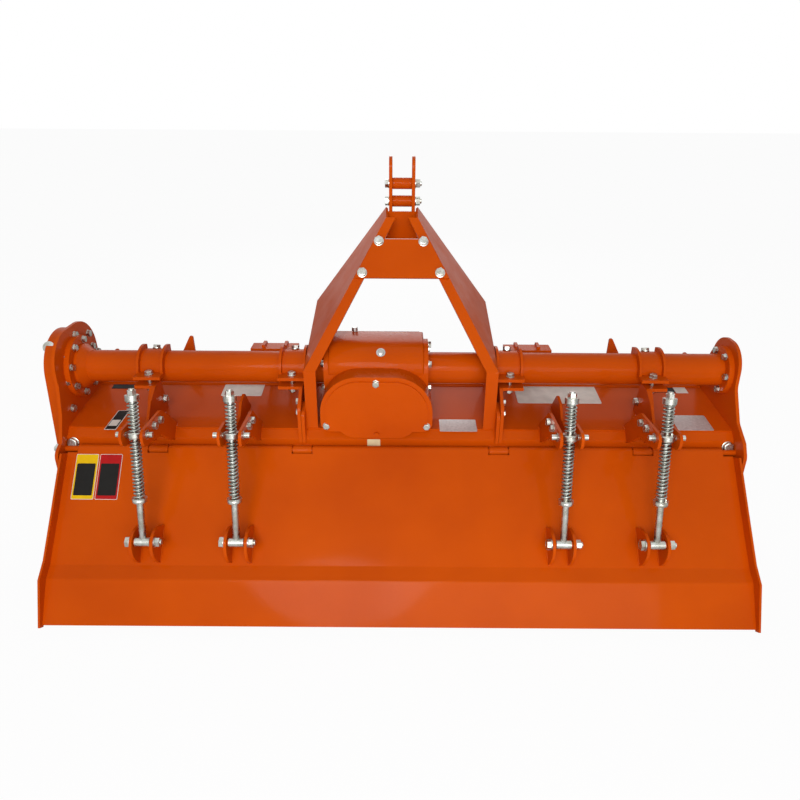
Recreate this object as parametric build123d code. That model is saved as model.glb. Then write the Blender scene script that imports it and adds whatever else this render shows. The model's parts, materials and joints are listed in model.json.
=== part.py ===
from build123d import *
import os
from math import atan2, cos, degrees, hypot, pi, radians, sin

# A rotavator for a tractor's three-point linkage, standing on its two skids.
# X runs to the right as seen from behind, Y points ahead to the tractor, Z is up from the floor.
# Side outlines are drawn as (ahead, up): ahead of the plane that holds the rotor and the main tube,
# and above the floor. Every length is in millimetres.

# Frame
axis_y = 141.6
running_gap = 0.3

# Trailing board, side plates and the sheet over the rotor
board_half_width = 1020.0
end_plate_thickness = 6.0
side_gap = 7.0
side_thickness = 10.0
board_thickness = 5.0
hood_thickness = 5.0
beam_thickness = 6.0
board_fold_drops = ((-362.0, 277.0), (-466.0, 163.0), (-501.0, 140.0), (-570.0, 32.0))
board_bend_radius = 16.0

# Board hinge
hinge_ahead = -224.0
hinge_up = 412.0
hinge_rod_radius = 9.0
hinge_eye_bore = 9.6
hinge_eye_radius = 14.0
tongue_width = 56.0
tongue_gap = 4.0
notch_gap = 6.0
corner_notch = 30.0
tongue_places = (-740.0, -300.0, 300.0, 740.0)

# Main tube
tube_ahead = -45.0
tube_up = 615.0
tube_radius = 50.0
tube_wall = 8.0
tube_flange_radius = 76.0
tube_flange_thickness = 16.0
cone_flange_radius = 98.0
cone_radius = 70.0
cone_length = 30.0
cone_lip = 8.0

# Clamps on the main tube and the tabs that they are bolted down to
inner_clamp_x = 337.0
outer_clamp_x = 778.0
clamp_half = 41.0
clamp_band = 6.0
clamp_rib = 8.0
clamp_rib_height = 20.0
clamp_foot_rear = -145.0
clamp_foot_drop = 7.0
tab_front = -97.0
clamp_gap = 18.0
tab_thickness = 10.0
support_thickness = 10.0
inner_support_inset = 35.0
outer_support_inset = 16.7

# Rotor
rotor_up = 240.0
rotor_shaft_radius = 45.0
rotor_end_gap = 17.0
stub_radius = 30.0
rotor_flange_count = 9
rotor_flange_pitch = 225.0
rotor_flange_radius = 95.0
rotor_flange_thickness = 10.0
blades_each_way = 3
blade_reach = 220.0
blade_thickness = 8.0
blade_wing = 82.0
blade_bend = 34.0
flange_twist = 22.0

# Hood outline
hood_rear_ahead = -185.0
hood_rear_up = 467.5
hood_crest_ahead = 80.0
hood_crest_up = 502.0
hood_shoulder = (200.0, 440.0)
hood_knee = (262.0, 330.0)
hood_lip = (268.0, 280.0)
hood_fold_radius = 30.0
beam_lap_ahead = -120.0
beam_face_ahead = -205.0
beam_fold_up = 443.0
beam_foot_up = 405.0
beam_toe = 8.0
beam_return = 30.0

# Gearbox
gearbox_left = -243.0
gearbox_right = 96.0
gearbox_cover_ahead = -215.0
field_height = 4.0
gearbox_cover_thickness = 20.0
gearbox_case_top = 650.0
gearbox_case_front = -96.0
gearbox_body_left = -213.0
gearbox_body_right = 60.0
gearbox_body_top = 695.0
gearbox_body_front = 120.0
gearbox_flange_radius = 92.0
gearbox_flange_thickness = 12.0
snout_front = 205.0
snout_radius = 58.0
pto_up = 560.0
pto_radius = 17.45
pto_front = 300.0
pto_spline_count = 6

# Mast
mast_foot_x = 291.0
mast_top_x = 49.0
mast_thickness = 8.0
mast_flange = 36.0
mast_rear = (-183.0, 656.0)
mast_kink = (212.0, 758.0)
mast_top_rear = (80.0, 1062.0)
mast_top_front = (162.0, 1081.0)
clevis_gap = 62.0
clevis_thickness = 10.0
clevis_ahead = 185.0
clevis_half_width = 35.0
clevis_top = 1231.0
clevis_foot = 1024.0
cap_foot = 985.0
cap_top = 1070.0
top_link_bore = 25.7
spacer_radius = 17.5
spacer_heights = (1096.0, 1150.0)

# Lower hitch
lower_hitch_half_span = 412.5
lower_hitch_gap = 60.0
lower_hitch_ear = 10.0
lower_hitch_ahead = 210.0
lower_hitch_up = 560.0
ear_root_drop = 43.0
lower_hitch_bore = 28.7
lower_hitch_radius = 36.0
hitch_plate = 12.0
hitch_plate_rise = 42.0
hitch_shelf_front = 60.0
hitch_half_width = 75.0

# Fins on the front of the hood
fin_rear = 168.0
fin_thickness = 8.0
fin_foot = 420.0

# Spring rods
rod_places = (-728.0, -463.0, 463.0, 728.0)
rod_foot = (-472.5, 251.0)
trunnion_place = (-399.3, 555.6)
rod_radius = 8.0
lug_gap = 50.0
lug_thickness = 8.0
lug_margin = 19.0
lug_half_length = 54.0
pin_past_lug = 22.0
eye_radius = 13.0
pin_radius = 8.0
collar_height = 129.0
rod_past_trunnion = 104.0
washer_radius = 21.0
washer_thickness = 4.0
top_washer_radius = 19.0
top_washer_thickness = 7.0
nut_radius = 12.5
nut_height = 13.0
rod_end = 24.0
trunnion_height = 18.0
trunnion_radius = 20.0
trunnion_bore = 11.0
spring_radius = 16.5
spring_wire = 5.2

# Skids
skid_sole = 8.0
skid_width = 56.0

# Side gear case
case_depth = 20.0
case_width = 43.0
hub_depth = 63.0
case_cover_thickness = 8.0
case_field_height = 6.0
case_field_inset = 34.0
case_top_place = (-22.0, 606.0)
case_top_radius = 122.0
case_foot_place = (0.0, 262.0)
case_foot_radius = 176.0
plug_place = (-72.0, 685.0)
plug_radius = 14.0

# Values worked out from those above
side_x = board_half_width + side_gap
side_face = side_x + side_thickness
case_face = -(side_face + case_width)
half_reach = side_face + case_width + case_depth
hub_reach = side_face + hub_depth
clamp_foot_up = tube_up - clamp_foot_drop
tab_up = clamp_foot_up - clamp_gap
hinge_line = (hinge_ahead, hinge_up)
tube_place = (tube_ahead, tube_up)


def across(outline, x_from, x_to):
    """Extrude a side outline between two planes across the machine."""
    plane = Plane(origin=(x_from, axis_y, 0), x_dir=(0, 1, 0), z_dir=(1, 0, 0))
    return extrude(plane * outline, amount=x_to - x_from)


def rounded(*corners):
    """A closed side outline; each corner is (ahead, up, radius)."""
    points = [(c[0], c[1]) for c in corners]
    return make_face(FilletPolyline(*points, radius=[c[2] for c in corners], close=True))


def polygon(*points):
    """A closed side outline with sharp corners."""
    return make_face(Polyline(*points, close=True))


def disc(ahead, up, radius):
    """A round side outline."""
    return Pos(ahead, up) * Circle(radius)


def bar(place, radius, x_from, x_to):
    """A round bar across the machine at a place in the side view."""
    return across(disc(place[0], place[1], radius), x_from, x_to)


def turned(place, *section):
    """A solid turned about a line across the machine; the section is (x, radius)."""
    spin = revolve(polygon(*section), Axis.X)
    return Pos(0, axis_y + place[0], place[1]) * spin


def sheet(points, thickness, radius, side):
    """The section of a folded sheet, set off from the line of its outer face."""
    line = FilletPolyline(*points, radius=radius)
    return make_face(offset(line, amount=thickness, side=side, closed=True).edges())


def hull_of(first, first_radius, second, second_radius):
    """The outline of a belt round two circles."""
    along = degrees(atan2(second[1] - first[1], second[0] - first[0]))
    span = hypot(second[0] - first[0], second[1] - first[1])
    lean = degrees(pi / 2 - atan2((first_radius - second_radius), span))
    start = [
        (first[0] + first_radius * cos(radians(along + s * lean)),
         first[1] + first_radius * sin(radians(along + s * lean)))
        for s in (1, -1)
    ]
    end = [
        (second[0] + second_radius * cos(radians(along + s * lean)),
         second[1] + second_radius * sin(radians(along + s * lean)))
        for s in (1, -1)
    ]
    middle = polygon(start[0], end[0], end[1], start[1])
    return disc(*first, first_radius) + disc(*second, second_radius) + middle


def beside(start, end, distance, offset_up):
    """A point along a line, set off at right angles to its upper rear side."""
    span = hypot(end[0] - start[0], end[1] - start[1])
    step = ((end[0] - start[0]) / span, (end[1] - start[1]) / span)
    foot = (start[0] + step[0] * distance, start[1] + step[1] * distance)
    return (foot[0] + step[1] * offset_up, foot[1] - step[0] * offset_up)


def below_hood():
    """The side outline of everything under the hood's top and the beam's rear face."""
    return polygon(
        (beam_face_ahead, beam_foot_up),
        (beam_face_ahead, beam_fold_up),
        (hood_rear_ahead, hood_rear_up - hood_thickness),
        (hood_rear_ahead, hood_rear_up),
        (hood_crest_ahead, hood_crest_up),
        hood_shoulder,
        hood_knee,
        (hood_knee[0], hood_knee[1] - 30),
        (beam_face_ahead, hood_knee[1] - 30),
    )


def hood_top(ahead):
    """Height of the hood's flat top at a distance ahead."""
    slope = (hood_crest_up - hood_rear_up) / (hood_crest_ahead - hood_rear_ahead)
    return hood_rear_up + slope * (ahead - hood_rear_ahead)


def hood_under(ahead):
    """Height of the hood's flat underside at a distance ahead."""
    slope = (hood_crest_up - hood_rear_up) / (hood_crest_ahead - hood_rear_ahead)
    return hood_top(ahead) - (hood_thickness + 0.02) * (1 + slope**2) ** 0.5


def make_hood():
    """The folded sheet over the rotor, between the side plates."""
    line = (
        (hood_rear_ahead, hood_rear_up),
        (hood_crest_ahead, hood_crest_up),
        hood_shoulder,
        hood_knee,
        hood_lip,
    )
    section = sheet(line, hood_thickness, hood_fold_radius, Side.RIGHT)
    hood = across(section, -side_x, side_x)
    seat = tube_flange_thickness + running_gap
    hood -= bar(tube_place, cone_flange_radius + running_gap, -side_x, -side_x + seat)
    return hood - bar(tube_place, tube_flange_radius + running_gap, side_x - seat, side_x)


def make_rear_beam():
    """The folded rear edge of the hood with the four tongues that hold the hinge rod."""
    line = (
        (beam_lap_ahead, hood_under(beam_lap_ahead)),
        (hood_rear_ahead, hood_under(hood_rear_ahead)),
        (beam_face_ahead, beam_fold_up),
        (beam_face_ahead, beam_foot_up),
        (beam_face_ahead + beam_return, beam_foot_up),
    )
    section = sheet(line, beam_thickness, 0, Side.LEFT)
    beam = across(section, -side_x, side_x)
    for x in tongue_places:
        low, high = x - tongue_width / 2, x + tongue_width / 2
        web = polygon(
            (hinge_ahead, hinge_up - hinge_eye_radius * 0.5),
            (hinge_ahead, hinge_up + hinge_eye_radius * 0.5),
            (beam_face_ahead + 1, hinge_up + hinge_eye_radius * 0.5),
            (beam_face_ahead + 1, beam_foot_up + 1),
        )
        knuckle = bar(hinge_line, hinge_eye_radius, low, high) + across(web, low, high)
        beam += knuckle - bar(hinge_line, hinge_rod_radius + running_gap, low, high)
    return beam


def board_line():
    """The line of the board's rear face, from the hinge eye to the bottom edge."""
    first = board_fold_drops[0]
    span = hypot(first[0] - hinge_ahead, first[1] - hinge_up)
    lean = atan2(first[1] - hinge_up, first[0] - hinge_ahead)
    swing = atan2(hinge_eye_radius, (span**2 - hinge_eye_radius**2) ** 0.5)
    top = lean + swing + pi / 2
    tangent = (
        hinge_ahead - hinge_eye_radius * cos(top),
        hinge_up - hinge_eye_radius * sin(top),
    )
    return (tangent,) + board_fold_drops


def make_board():
    """The folded board with its rolled hinge eye, notched round the tongues."""
    inner = board_half_width - end_plate_thickness
    section = sheet(board_line(), board_thickness, board_bend_radius, Side.LEFT)
    panel = across(section, -inner, inner)
    panel += bar(hinge_line, hinge_eye_radius, -inner, inner)
    panel -= bar(hinge_line, hinge_eye_bore, -inner, inner)
    half = hinge_eye_radius + notch_gap
    notch = Pos(*hinge_line) * Rectangle(2 * half, 2 * half)
    for x in tongue_places:
        reach = tongue_width / 2 + tongue_gap
        panel -= across(notch, x - reach, x + reach)
    panel -= across(notch, -inner, corner_notch - inner)
    return panel - across(notch, inner - corner_notch, inner)


def make_board_end(side):
    """A thin plate closing one end of the board, a little proud of its face."""
    line = board_line()
    proud = 7.0
    deep = 34.0
    outer = [beside(line[0], line[1], 16, -proud)]
    inner = [beside(line[0], line[1], 26, deep)]
    for n in range(1, 4):
        outer.append(beside(line[n], line[n + 1], 0, -proud))
        inner.append(beside(line[n], line[n + 1], 0, deep))
    outer.append(beside(line[3], line[4], 134, -proud))
    inner.append(beside(line[3], line[4], 134, 12))
    plate = polygon(*outer, *reversed(inner))
    x_from = side * board_half_width
    x_to = side * (board_half_width - end_plate_thickness)
    return across(plate, min(x_from, x_to), max(x_from, x_to))


def make_board_lug(x):
    """Two half-round plates on the board with the pin between them."""
    first, second = board_fold_drops[0], board_fold_drops[1]
    span = hypot(second[0] - first[0], second[1] - first[1])
    step = ((second[0] - first[0]) / span, (second[1] - first[1]) / span)
    along = (rod_foot[0] - first[0]) * step[0] + (rod_foot[1] - first[1]) * step[1]
    foot = (first[0] + along * step[0], first[1] + along * step[1])
    height = hypot(rod_foot[0] - foot[0], rod_foot[1] - foot[1]) + lug_margin
    turn = degrees(atan2(step[1], step[0]))
    cut = Pos(0, height) * Rectangle(3 * lug_half_length, 2 * height)
    half_round = Ellipse(lug_half_length, height) - cut
    outline = Pos(*foot) * Rot(0, 0, turn) * half_round
    lug = Part()
    inner = lug_gap / 2
    for low in (x - inner - lug_thickness, x + inner):
        lug += across(outline, low, low + lug_thickness)
    low = x - inner - pin_past_lug
    lug += bar(rod_foot, pin_radius, low, x + inner + pin_past_lug)
    return lug + bar(rod_foot, pin_radius * 1.6, low, low + 10)


def left_outline():
    """Side plate outline with a wide shoulder round the tube and a lobe at the hinge."""
    return rounded(
        (-194, 746, 110),
        (94, 746, 110),
        (98, 600, 60),
        (168, 420, 100),
        (150, 88, 110),
        (-150, 88, 110),
        (-280, 330, 42),
        (-280, 422, 30),
        (-240, 440, 12),
        (-206, 518, 60),
        (-188, 600, 60),
    )


def right_outline():
    """Side plate outline with a narrow shoulder round the tube and a lobe at the hinge."""
    return rounded(
        (-132, 716, 80),
        (40, 716, 80),
        (46, 600, 50),
        (168, 420, 100),
        (150, 88, 110),
        (-150, 88, 110),
        (-280, 330, 42),
        (-280, 425, 30),
        (-256, 462, 14),
        (-198, 499, 30),
        (-140, 590, 50),
    )


def make_side_plate(side):
    """An end plate of the frame, bored for the rotor's stub and the hinge rod."""
    outline = left_outline() if side < 0 else right_outline()
    outline -= disc(0, rotor_up, stub_radius + running_gap)
    outline -= disc(*hinge_line, hinge_rod_radius + running_gap)
    if side < 0:
        return across(outline, -side_face, -side_x)
    return across(outline, side_x, side_face)


def case_outline(inset):
    """The belt-shaped outline of the side gear case."""
    return hull_of(
        case_top_place, case_top_radius - inset, case_foot_place, case_foot_radius - inset
    )


def make_gear_case():
    """The deep case of the side gears, outside the left plate."""
    case = across(case_outline(0), case_face, -side_face)
    return case - bar((0, rotor_up), stub_radius + running_gap, -side_face - 20, -side_face)


def make_gear_case_cover():
    """The cover of the side gear case, with a raised field and a filler plug."""
    face = case_face - case_cover_thickness
    cover = across(case_outline(0), face, case_face)
    cover += across(case_outline(case_field_inset), face - case_field_height, face)
    return cover + bar(plug_place, plug_radius, -half_reach, face)


def make_rotor_hub():
    """The bearing housing outside the right plate."""
    return turned(
        (0, rotor_up),
        (side_face, stub_radius + running_gap),
        (side_face, 95),
        (side_face + 14, 95),
        (side_face + 18, 66),
        (hub_reach - 12, 60),
        (hub_reach, 46),
        (hub_reach, 0),
        (side_face + 16, 0),
        (side_face + 16, stub_radius + running_gap),
    )


def make_main_tube_left():
    """The left tube, from the gearbox to the cone at the side plate."""
    inner = gearbox_body_left - gearbox_flange_thickness
    bore = tube_radius - tube_wall
    flange_in = -side_x + tube_flange_thickness
    return turned(
        tube_place,
        (inner, bore),
        (inner, gearbox_flange_radius),
        (inner - gearbox_flange_thickness, gearbox_flange_radius),
        (inner - gearbox_flange_thickness, tube_radius),
        (flange_in + cone_length, tube_radius),
        (flange_in + cone_lip, cone_radius),
        (flange_in, cone_radius),
        (flange_in, cone_flange_radius),
        (-side_x, cone_flange_radius),
        (-side_x, bore),
    )


def make_main_tube_right():
    """The right tube, from the gearbox to the plain flange at the side plate."""
    inner = gearbox_body_right + gearbox_flange_thickness
    bore = tube_radius - tube_wall
    return turned(
        tube_place,
        (inner, bore),
        (inner, gearbox_flange_radius),
        (inner + gearbox_flange_thickness, gearbox_flange_radius),
        (inner + gearbox_flange_thickness, tube_radius),
        (side_x - tube_flange_thickness, tube_radius),
        (side_x - tube_flange_thickness, tube_flange_radius),
        (side_x, tube_flange_radius),
        (side_x, bore),
    )


def cover_sketch(inset):
    """The cover's outline seen from behind, flat below and round above."""
    foot = hood_rear_up + 2.5
    low = gearbox_left + inset
    high = gearbox_right - inset
    top = gearbox_case_top - inset
    points = ((low, foot + inset), (high, foot + inset), (high, top), (low, top))
    corner = 28 - inset * 0.4
    crown = 118 - inset
    return make_face(FilletPolyline(*points, radius=[corner, corner, crown, crown], close=True))


def from_behind(outline, ahead_from, ahead_to):
    """Extrude an outline drawn as (x, up) between two planes ahead of the axis."""
    plane = Plane(origin=(0, axis_y + ahead_to, 0), x_dir=(1, 0, 0), z_dir=(0, -1, 0))
    return extrude(plane * outline, amount=ahead_to - ahead_from)


def make_gearbox_housing():
    """The cast gearbox on the hood: rear case, bevel gear body and input snout."""
    rear = from_behind(
        cover_sketch(0), gearbox_cover_ahead + gearbox_cover_thickness, gearbox_case_front
    )
    body = across(
        rounded(
            (gearbox_case_front - 6, 470, 0),
            (gearbox_case_front - 6, gearbox_case_top, 0),
            (gearbox_case_front + 50, gearbox_body_top, 30),
            (gearbox_body_front - 20, gearbox_body_top, 40),
            (gearbox_body_front, tube_up, 20),
            (gearbox_body_front, 470, 0),
        ),
        gearbox_body_left,
        gearbox_body_right,
    )
    snout = turned_ahead(
        (0, pto_up),
        (gearbox_body_front - 30, 74),
        (gearbox_body_front + 20, 74),
        (gearbox_body_front + 34, snout_radius - 8),
        (snout_front - 14, snout_radius - 8),
        (snout_front - 14, snout_radius),
        (snout_front, snout_radius),
        (snout_front, 0),
        (gearbox_body_front - 30, 0),
    )
    flanges = bar(
        tube_place,
        gearbox_flange_radius,
        gearbox_body_left - gearbox_flange_thickness,
        gearbox_body_right + gearbox_flange_thickness,
    )
    housing = rear + body + snout + flanges
    housing -= across(below_hood(), gearbox_left - 40, gearbox_right + 40)
    room = gearbox_flange_radius + running_gap
    housing -= bar(tube_place, room, gearbox_left - 40, gearbox_body_left - gearbox_flange_thickness)
    housing -= bar(
        tube_place, room, gearbox_body_right + gearbox_flange_thickness, gearbox_right + 40
    )
    bore = turned_ahead(
        (0, pto_up),
        (snout_front - 30, 0),
        (snout_front - 30, pto_radius + running_gap),
        (snout_front, pto_radius + running_gap),
        (snout_front, 0),
    )
    return housing - bore


def turned_ahead(place, *section):
    """A solid turned about a line along the machine; the section is (ahead, radius)."""
    spin = revolve(polygon(*section), Axis.X)
    return Pos(place[0], axis_y, place[1]) * Rot(0, 0, 90) * spin


def make_gearbox_cover():
    """The rear cover of the gearbox, with its raised field and the bulge over the beam."""
    rear = gearbox_cover_ahead
    middle = (gearbox_left + gearbox_right) / 2
    bulge = make_face(
        FilletPolyline(
            (middle - 124, hood_rear_up + 60),
            (middle - 124, hood_rear_up - 19),
            (middle + 124, hood_rear_up - 19),
            (middle + 124, hood_rear_up + 60),
            radius=[0, 60, 60, 0],
            close=True,
        )
    )
    field = from_behind(cover_sketch(14), rear, rear + field_height)
    bulged = from_behind(cover_sketch(0) + bulge, rear + field_height, beam_face_ahead - 1)
    flange = from_behind(cover_sketch(0), beam_face_ahead - 1, rear + gearbox_cover_thickness)
    return field + bulged + flange


def make_pto_shaft():
    """The splined input stub."""
    stub = turned_ahead(
        (0, pto_up),
        (snout_front - 29, 0),
        (snout_front - 29, pto_radius),
        (pto_front - 3, pto_radius),
        (pto_front, pto_radius - 3),
        (pto_front, 0),
    )
    length = pto_front - snout_front - 8
    for n in range(pto_spline_count):
        groove = Pos(0, 0, pto_radius) * Box(8.5, length, 5.4)
        turn = Rot(0, (n + 0.5) * 360 / pto_spline_count, 0)
        stub -= Pos(0, axis_y + pto_front - length / 2, pto_up) * turn * groove
    return stub


def web_x(ahead, up):
    """Distance of the slanted web from the middle, at a place in the side view."""
    rear, kink, top = mast_rear, mast_kink, mast_top_rear
    run, rise = kink[0] - rear[0], kink[1] - rear[1]
    along, high = top[0] - rear[0], top[1] - rear[1]
    per_up = (mast_top_x - mast_foot_x) / (high - along * rise / run)
    per_ahead = -per_up * rise / run
    return mast_foot_x + per_ahead * (ahead - rear[0]) + per_up * (up - rear[1])


def slab(side, points, thickness, direction):
    """A flat plate through points given as (x, ahead, up), thickened one way."""
    corners = [(side * p[0], axis_y + p[1], p[2]) for p in points]
    face = make_face(Polyline(*corners, close=True))
    way = Vector(side * direction[0], direction[1], direction[2])
    return extrude(face, amount=thickness, dir=way)


def make_mast_arm(side):
    """One arm of the mast: a folded plate with a wide web and a narrow rear flange."""
    foot = polygon(
        (mast_rear[0], hood_top(mast_rear[0])),
        mast_rear,
        mast_kink,
        (mast_kink[0] - 4, mast_kink[1] - 60),
        (96, 545),
        (70, hood_top(70)),
    )
    foot -= disc(*tube_place, tube_radius + running_gap)
    outer, inner = side * mast_foot_x, side * (mast_foot_x - mast_thickness)
    arm = across(foot, min(outer, inner), max(outer, inner))
    top_front_x = web_x(*mast_top_front)
    lean = Vector(
        -(mast_kink[0] - mast_rear[0]) * (mast_top_rear[1] - mast_rear[1])
        + (mast_kink[1] - mast_rear[1]) * (mast_top_rear[0] - mast_rear[0]),
        (mast_kink[1] - mast_rear[1]) * (mast_top_x - mast_foot_x),
        -(mast_kink[0] - mast_rear[0]) * (mast_top_x - mast_foot_x) * -1,
    ).normalized()
    arm += slab(
        side,
        (
            (mast_foot_x, *mast_rear),
            (mast_foot_x, *mast_kink),
            (top_front_x, *mast_top_front),
            (mast_top_x, *mast_top_rear),
        ),
        mast_thickness,
        (lean.X, lean.Y, lean.Z),
    )
    rise = (mast_top_rear[0] - mast_rear[0], mast_top_rear[1] - mast_rear[1])
    span = hypot(*rise)
    forward = (0, rise[1] / span, -rise[0] / span)
    arm += slab(
        side,
        (
            (mast_foot_x, *mast_rear),
            (mast_top_x, *mast_top_rear),
            (mast_top_x - mast_flange + 6, *mast_top_rear),
            (mast_foot_x - mast_flange, *mast_rear),
        ),
        mast_thickness,
        forward,
    )
    arm += slab(
        side,
        (
            (mast_foot_x, mast_rear[0], hood_top(mast_rear[0])),
            (mast_foot_x, *mast_rear),
            (mast_foot_x - mast_flange, *mast_rear),
            (mast_foot_x - mast_flange, mast_rear[0], hood_top(mast_rear[0])),
        ),
        mast_thickness,
        (0, 1, 0),
    )
    return arm - across(below_hood(), -side_x, side_x)


def mast_place(share):
    """A place on the rear face of the arms, as a share of the way up: (x, ahead, up)."""
    return (
        mast_foot_x + share * (mast_top_x - mast_foot_x),
        mast_rear[0] + share * (mast_top_rear[0] - mast_rear[0]),
        mast_rear[1] + share * (mast_top_rear[1] - mast_rear[1]),
    )


def make_mast_plate(low_share, high_share, inset, thickness, setback):
    """A plate between the two arms, in the plane of their rear flanges."""
    low, high = mast_place(low_share), mast_place(high_share)
    rise = (mast_top_rear[0] - mast_rear[0], mast_top_rear[1] - mast_rear[1])
    span = hypot(*rise)
    back = Vector(0, -rise[1] / span, rise[0] / span)
    corners = [
        Vector(s * (p[0] - inset), axis_y + p[1], p[2]) + back * setback
        for s, p in ((-1, low), (-1, high), (1, high), (1, low))
    ]
    return extrude(make_face(Polyline(*corners, close=True)), amount=thickness, dir=back)


def make_clevis():
    """Two plates for the top link, joined by spacer tubes."""
    outline = rounded(
        (clevis_ahead - clevis_half_width, clevis_foot, 0),
        (clevis_ahead + clevis_half_width, clevis_foot + 30, 12),
        (clevis_ahead + clevis_half_width, clevis_top, clevis_half_width - 2),
        (clevis_ahead - clevis_half_width, clevis_top, clevis_half_width - 2),
    )
    pin_up = clevis_top - clevis_half_width
    outline -= disc(clevis_ahead, pin_up, top_link_bore / 2)
    inner = clevis_gap / 2
    clevis = across(outline, -inner - clevis_thickness, -inner)
    clevis += across(outline, inner, inner + clevis_thickness)
    for up in spacer_heights:
        clevis += bar((clevis_ahead, up), spacer_radius, -inner, inner)
    return clevis


def web_inner_x(ahead, up):
    """Distance of the slanted web's inner face from the middle."""
    per_ahead = web_x(1, 0) - web_x(0, 0)
    per_up = web_x(0, 1) - web_x(0, 0)
    slant = (1 + per_ahead**2 + per_up**2) ** 0.5
    return web_x(ahead, up) - mast_thickness * slant


def make_mast_cap():
    """The plate between the arms that the clevis plates stand against."""
    front = clevis_ahead - clevis_half_width
    rear = front - mast_thickness
    low = web_inner_x(rear, cap_foot) - running_gap
    high = web_inner_x(rear, cap_top) - running_gap
    outline = polygon((-low, cap_foot), (low, cap_foot), (high, cap_top), (-high, cap_top))
    return from_behind(outline, rear, front)


def clamp(x):
    """A strap over the main tube with two upright ribs and a foot for its bolt."""
    reach = tube_radius + running_gap
    band = disc(*tube_place, reach + clamp_band) - disc(*tube_place, reach)
    ribs = disc(*tube_place, reach + clamp_rib_height) - disc(*tube_place, reach)
    upper = polygon(
        (tube_ahead - 90, clamp_foot_up),
        (tube_ahead + 30, clamp_foot_up),
        (tube_ahead + 30, tube_up + 90),
        (tube_ahead - 90, tube_up + 90),
    )
    strap = across(band & upper, x - clamp_half, x + clamp_half)
    foot = polygon(
        (clamp_foot_rear, clamp_foot_up),
        (tube_ahead - reach, clamp_foot_up),
        (tube_ahead - reach, clamp_foot_up + tab_thickness),
        (clamp_foot_rear, clamp_foot_up + tab_thickness),
    )
    foot -= disc(*tube_place, reach)
    strap += across(foot, x - clamp_half, x + clamp_half)
    for low in (x - clamp_half, x + clamp_half - clamp_rib):
        strap += across(ribs & upper, low, low + clamp_rib)
    return strap


def support(x, inset, rear):
    """A rib on the hood beside a clamp, with the tab that takes the clamp's bolt."""
    rib = rounded(
        (rear, beam_fold_up - 11, 0),
        (rear, 545, 40),
        (clamp_foot_rear, tab_up, 16),
        (tab_front, tab_up, 0),
        (-50, hood_top(-50) - 4, 0),
    )
    rib -= disc(*tube_place, tube_radius + running_gap)
    rib -= below_hood()
    side = 1 if x > 0 else -1
    web = sorted((x - side * inset, x - side * (inset - support_thickness)))
    tab = polygon(
        (clamp_foot_rear, tab_up - tab_thickness),
        (tab_front, tab_up - tab_thickness),
        (tab_front, tab_up),
        (clamp_foot_rear, tab_up),
    )
    shelf = sorted((x - side * inset, x + side * clamp_half))
    return across(rib, *web) + across(tab, *shelf)


def inner_support(x):
    """The support beside a mast arm."""
    return support(x, inner_support_inset, beam_face_ahead - beam_toe)


def outer_support(x):
    """The support beside an outer spring bracket."""
    return support(x, outer_support_inset, hood_rear_ahead)


def pair(maker, x):
    """The same piece at equal distances left and right."""
    return Compound(children=[*maker(-x).solids(), *maker(x).solids()])


def rib_on_hood(x):
    """A rib on the hood and beam that the foot of a mast arm is bolted to."""
    rib = rounded(
        (beam_face_ahead - beam_toe, beam_fold_up - 11, 0),
        (beam_face_ahead - beam_toe, 530, 20),
        (-150, 545, 20),
        (-60, 500, 10),
        (-50, hood_top(-50) - 4, 0),
    )
    rib -= below_hood()
    inner = mast_foot_x if x > 0 else -mast_foot_x - side_thickness
    return across(rib, inner, inner + side_thickness)


def bracket_outline(*ridge):
    """Side outline of a bracket plate; the ridge runs forward from its ear to the hood."""
    outline = rounded(
        (-430, 530, 26),
        (-430, 578, 20),
        *ridge,
        (ridge[-1][0], hood_top(ridge[-1][0]) - 6, 0),
        (beam_face_ahead + 2, beam_fold_up - 11, 0),
        (-236, beam_foot_up + 48, 30),
        (-300, 505, 40),
    )
    outline -= below_hood()
    outline -= disc(*tube_place, tube_radius + running_gap)
    return outline - disc(*trunnion_place, pin_radius + running_gap)


def make_spring_bracket(x):
    """Two plates from the hood's rear edge back to the trunnion, the outboard one with a fin."""
    side = 1 if x > 0 else -1
    plain = bracket_outline((-275, 572, 30), (-165, hood_top(-165) + 4, 0))
    if abs(x) == max(rod_places):
        finned = bracket_outline(
            (-345, 574, 24),
            (-285, 508, 16),
            (-235, 520, 16),
            (-200, 560, 16),
            (clamp_foot_rear, tab_up, 10),
            (tab_front, tab_up, 0),
            (-70, hood_top(-70) + 4, 0),
        )
    else:
        finned = bracket_outline(
            (-345, 574, 24),
            (-285, 508, 16),
            (-200, 510, 14),
            (-165, 546, 14),
            (-118, 554, 12),
            (-60, hood_top(-60) + 4, 0),
        )
    inner = lug_gap / 2
    outer = inner + lug_thickness
    plates = across(plain, *sorted((x - side * inner, x - side * outer)))
    plates += across(finned, *sorted((x + side * inner, x + side * outer)))
    bridge = polygon(
        (-172, hood_top(-172)),
        (-158, hood_top(-158)),
        (-158, hood_top(-158) + 6),
        (-172, hood_top(-172) + 6),
    )
    return plates + across(bridge, x - inner - 1, x + inner + 1)


def make_trunnion(x):
    """The ring that the rod slides through, with a pin each way."""
    lean = Rot(rod_lean() - 90, 0, 0)
    ring = lean * Cylinder(trunnion_radius, trunnion_height)
    pins = Rot(0, 90, 0) * Cylinder(pin_radius, lug_gap + 50)
    bore = lean * Cylinder(trunnion_bore, 6 * trunnion_radius)
    return Pos(x, axis_y + trunnion_place[0], trunnion_place[1]) * (ring + pins - bore)


def rod_lean():
    """Angle of the rods from level, seen from the side."""
    run = trunnion_place[0] - rod_foot[0]
    rise = trunnion_place[1] - rod_foot[1]
    return degrees(atan2(rise, run))


def rod_span():
    """Distance from the board's pin to the trunnion."""
    return hypot(trunnion_place[0] - rod_foot[0], trunnion_place[1] - rod_foot[1])


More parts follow.
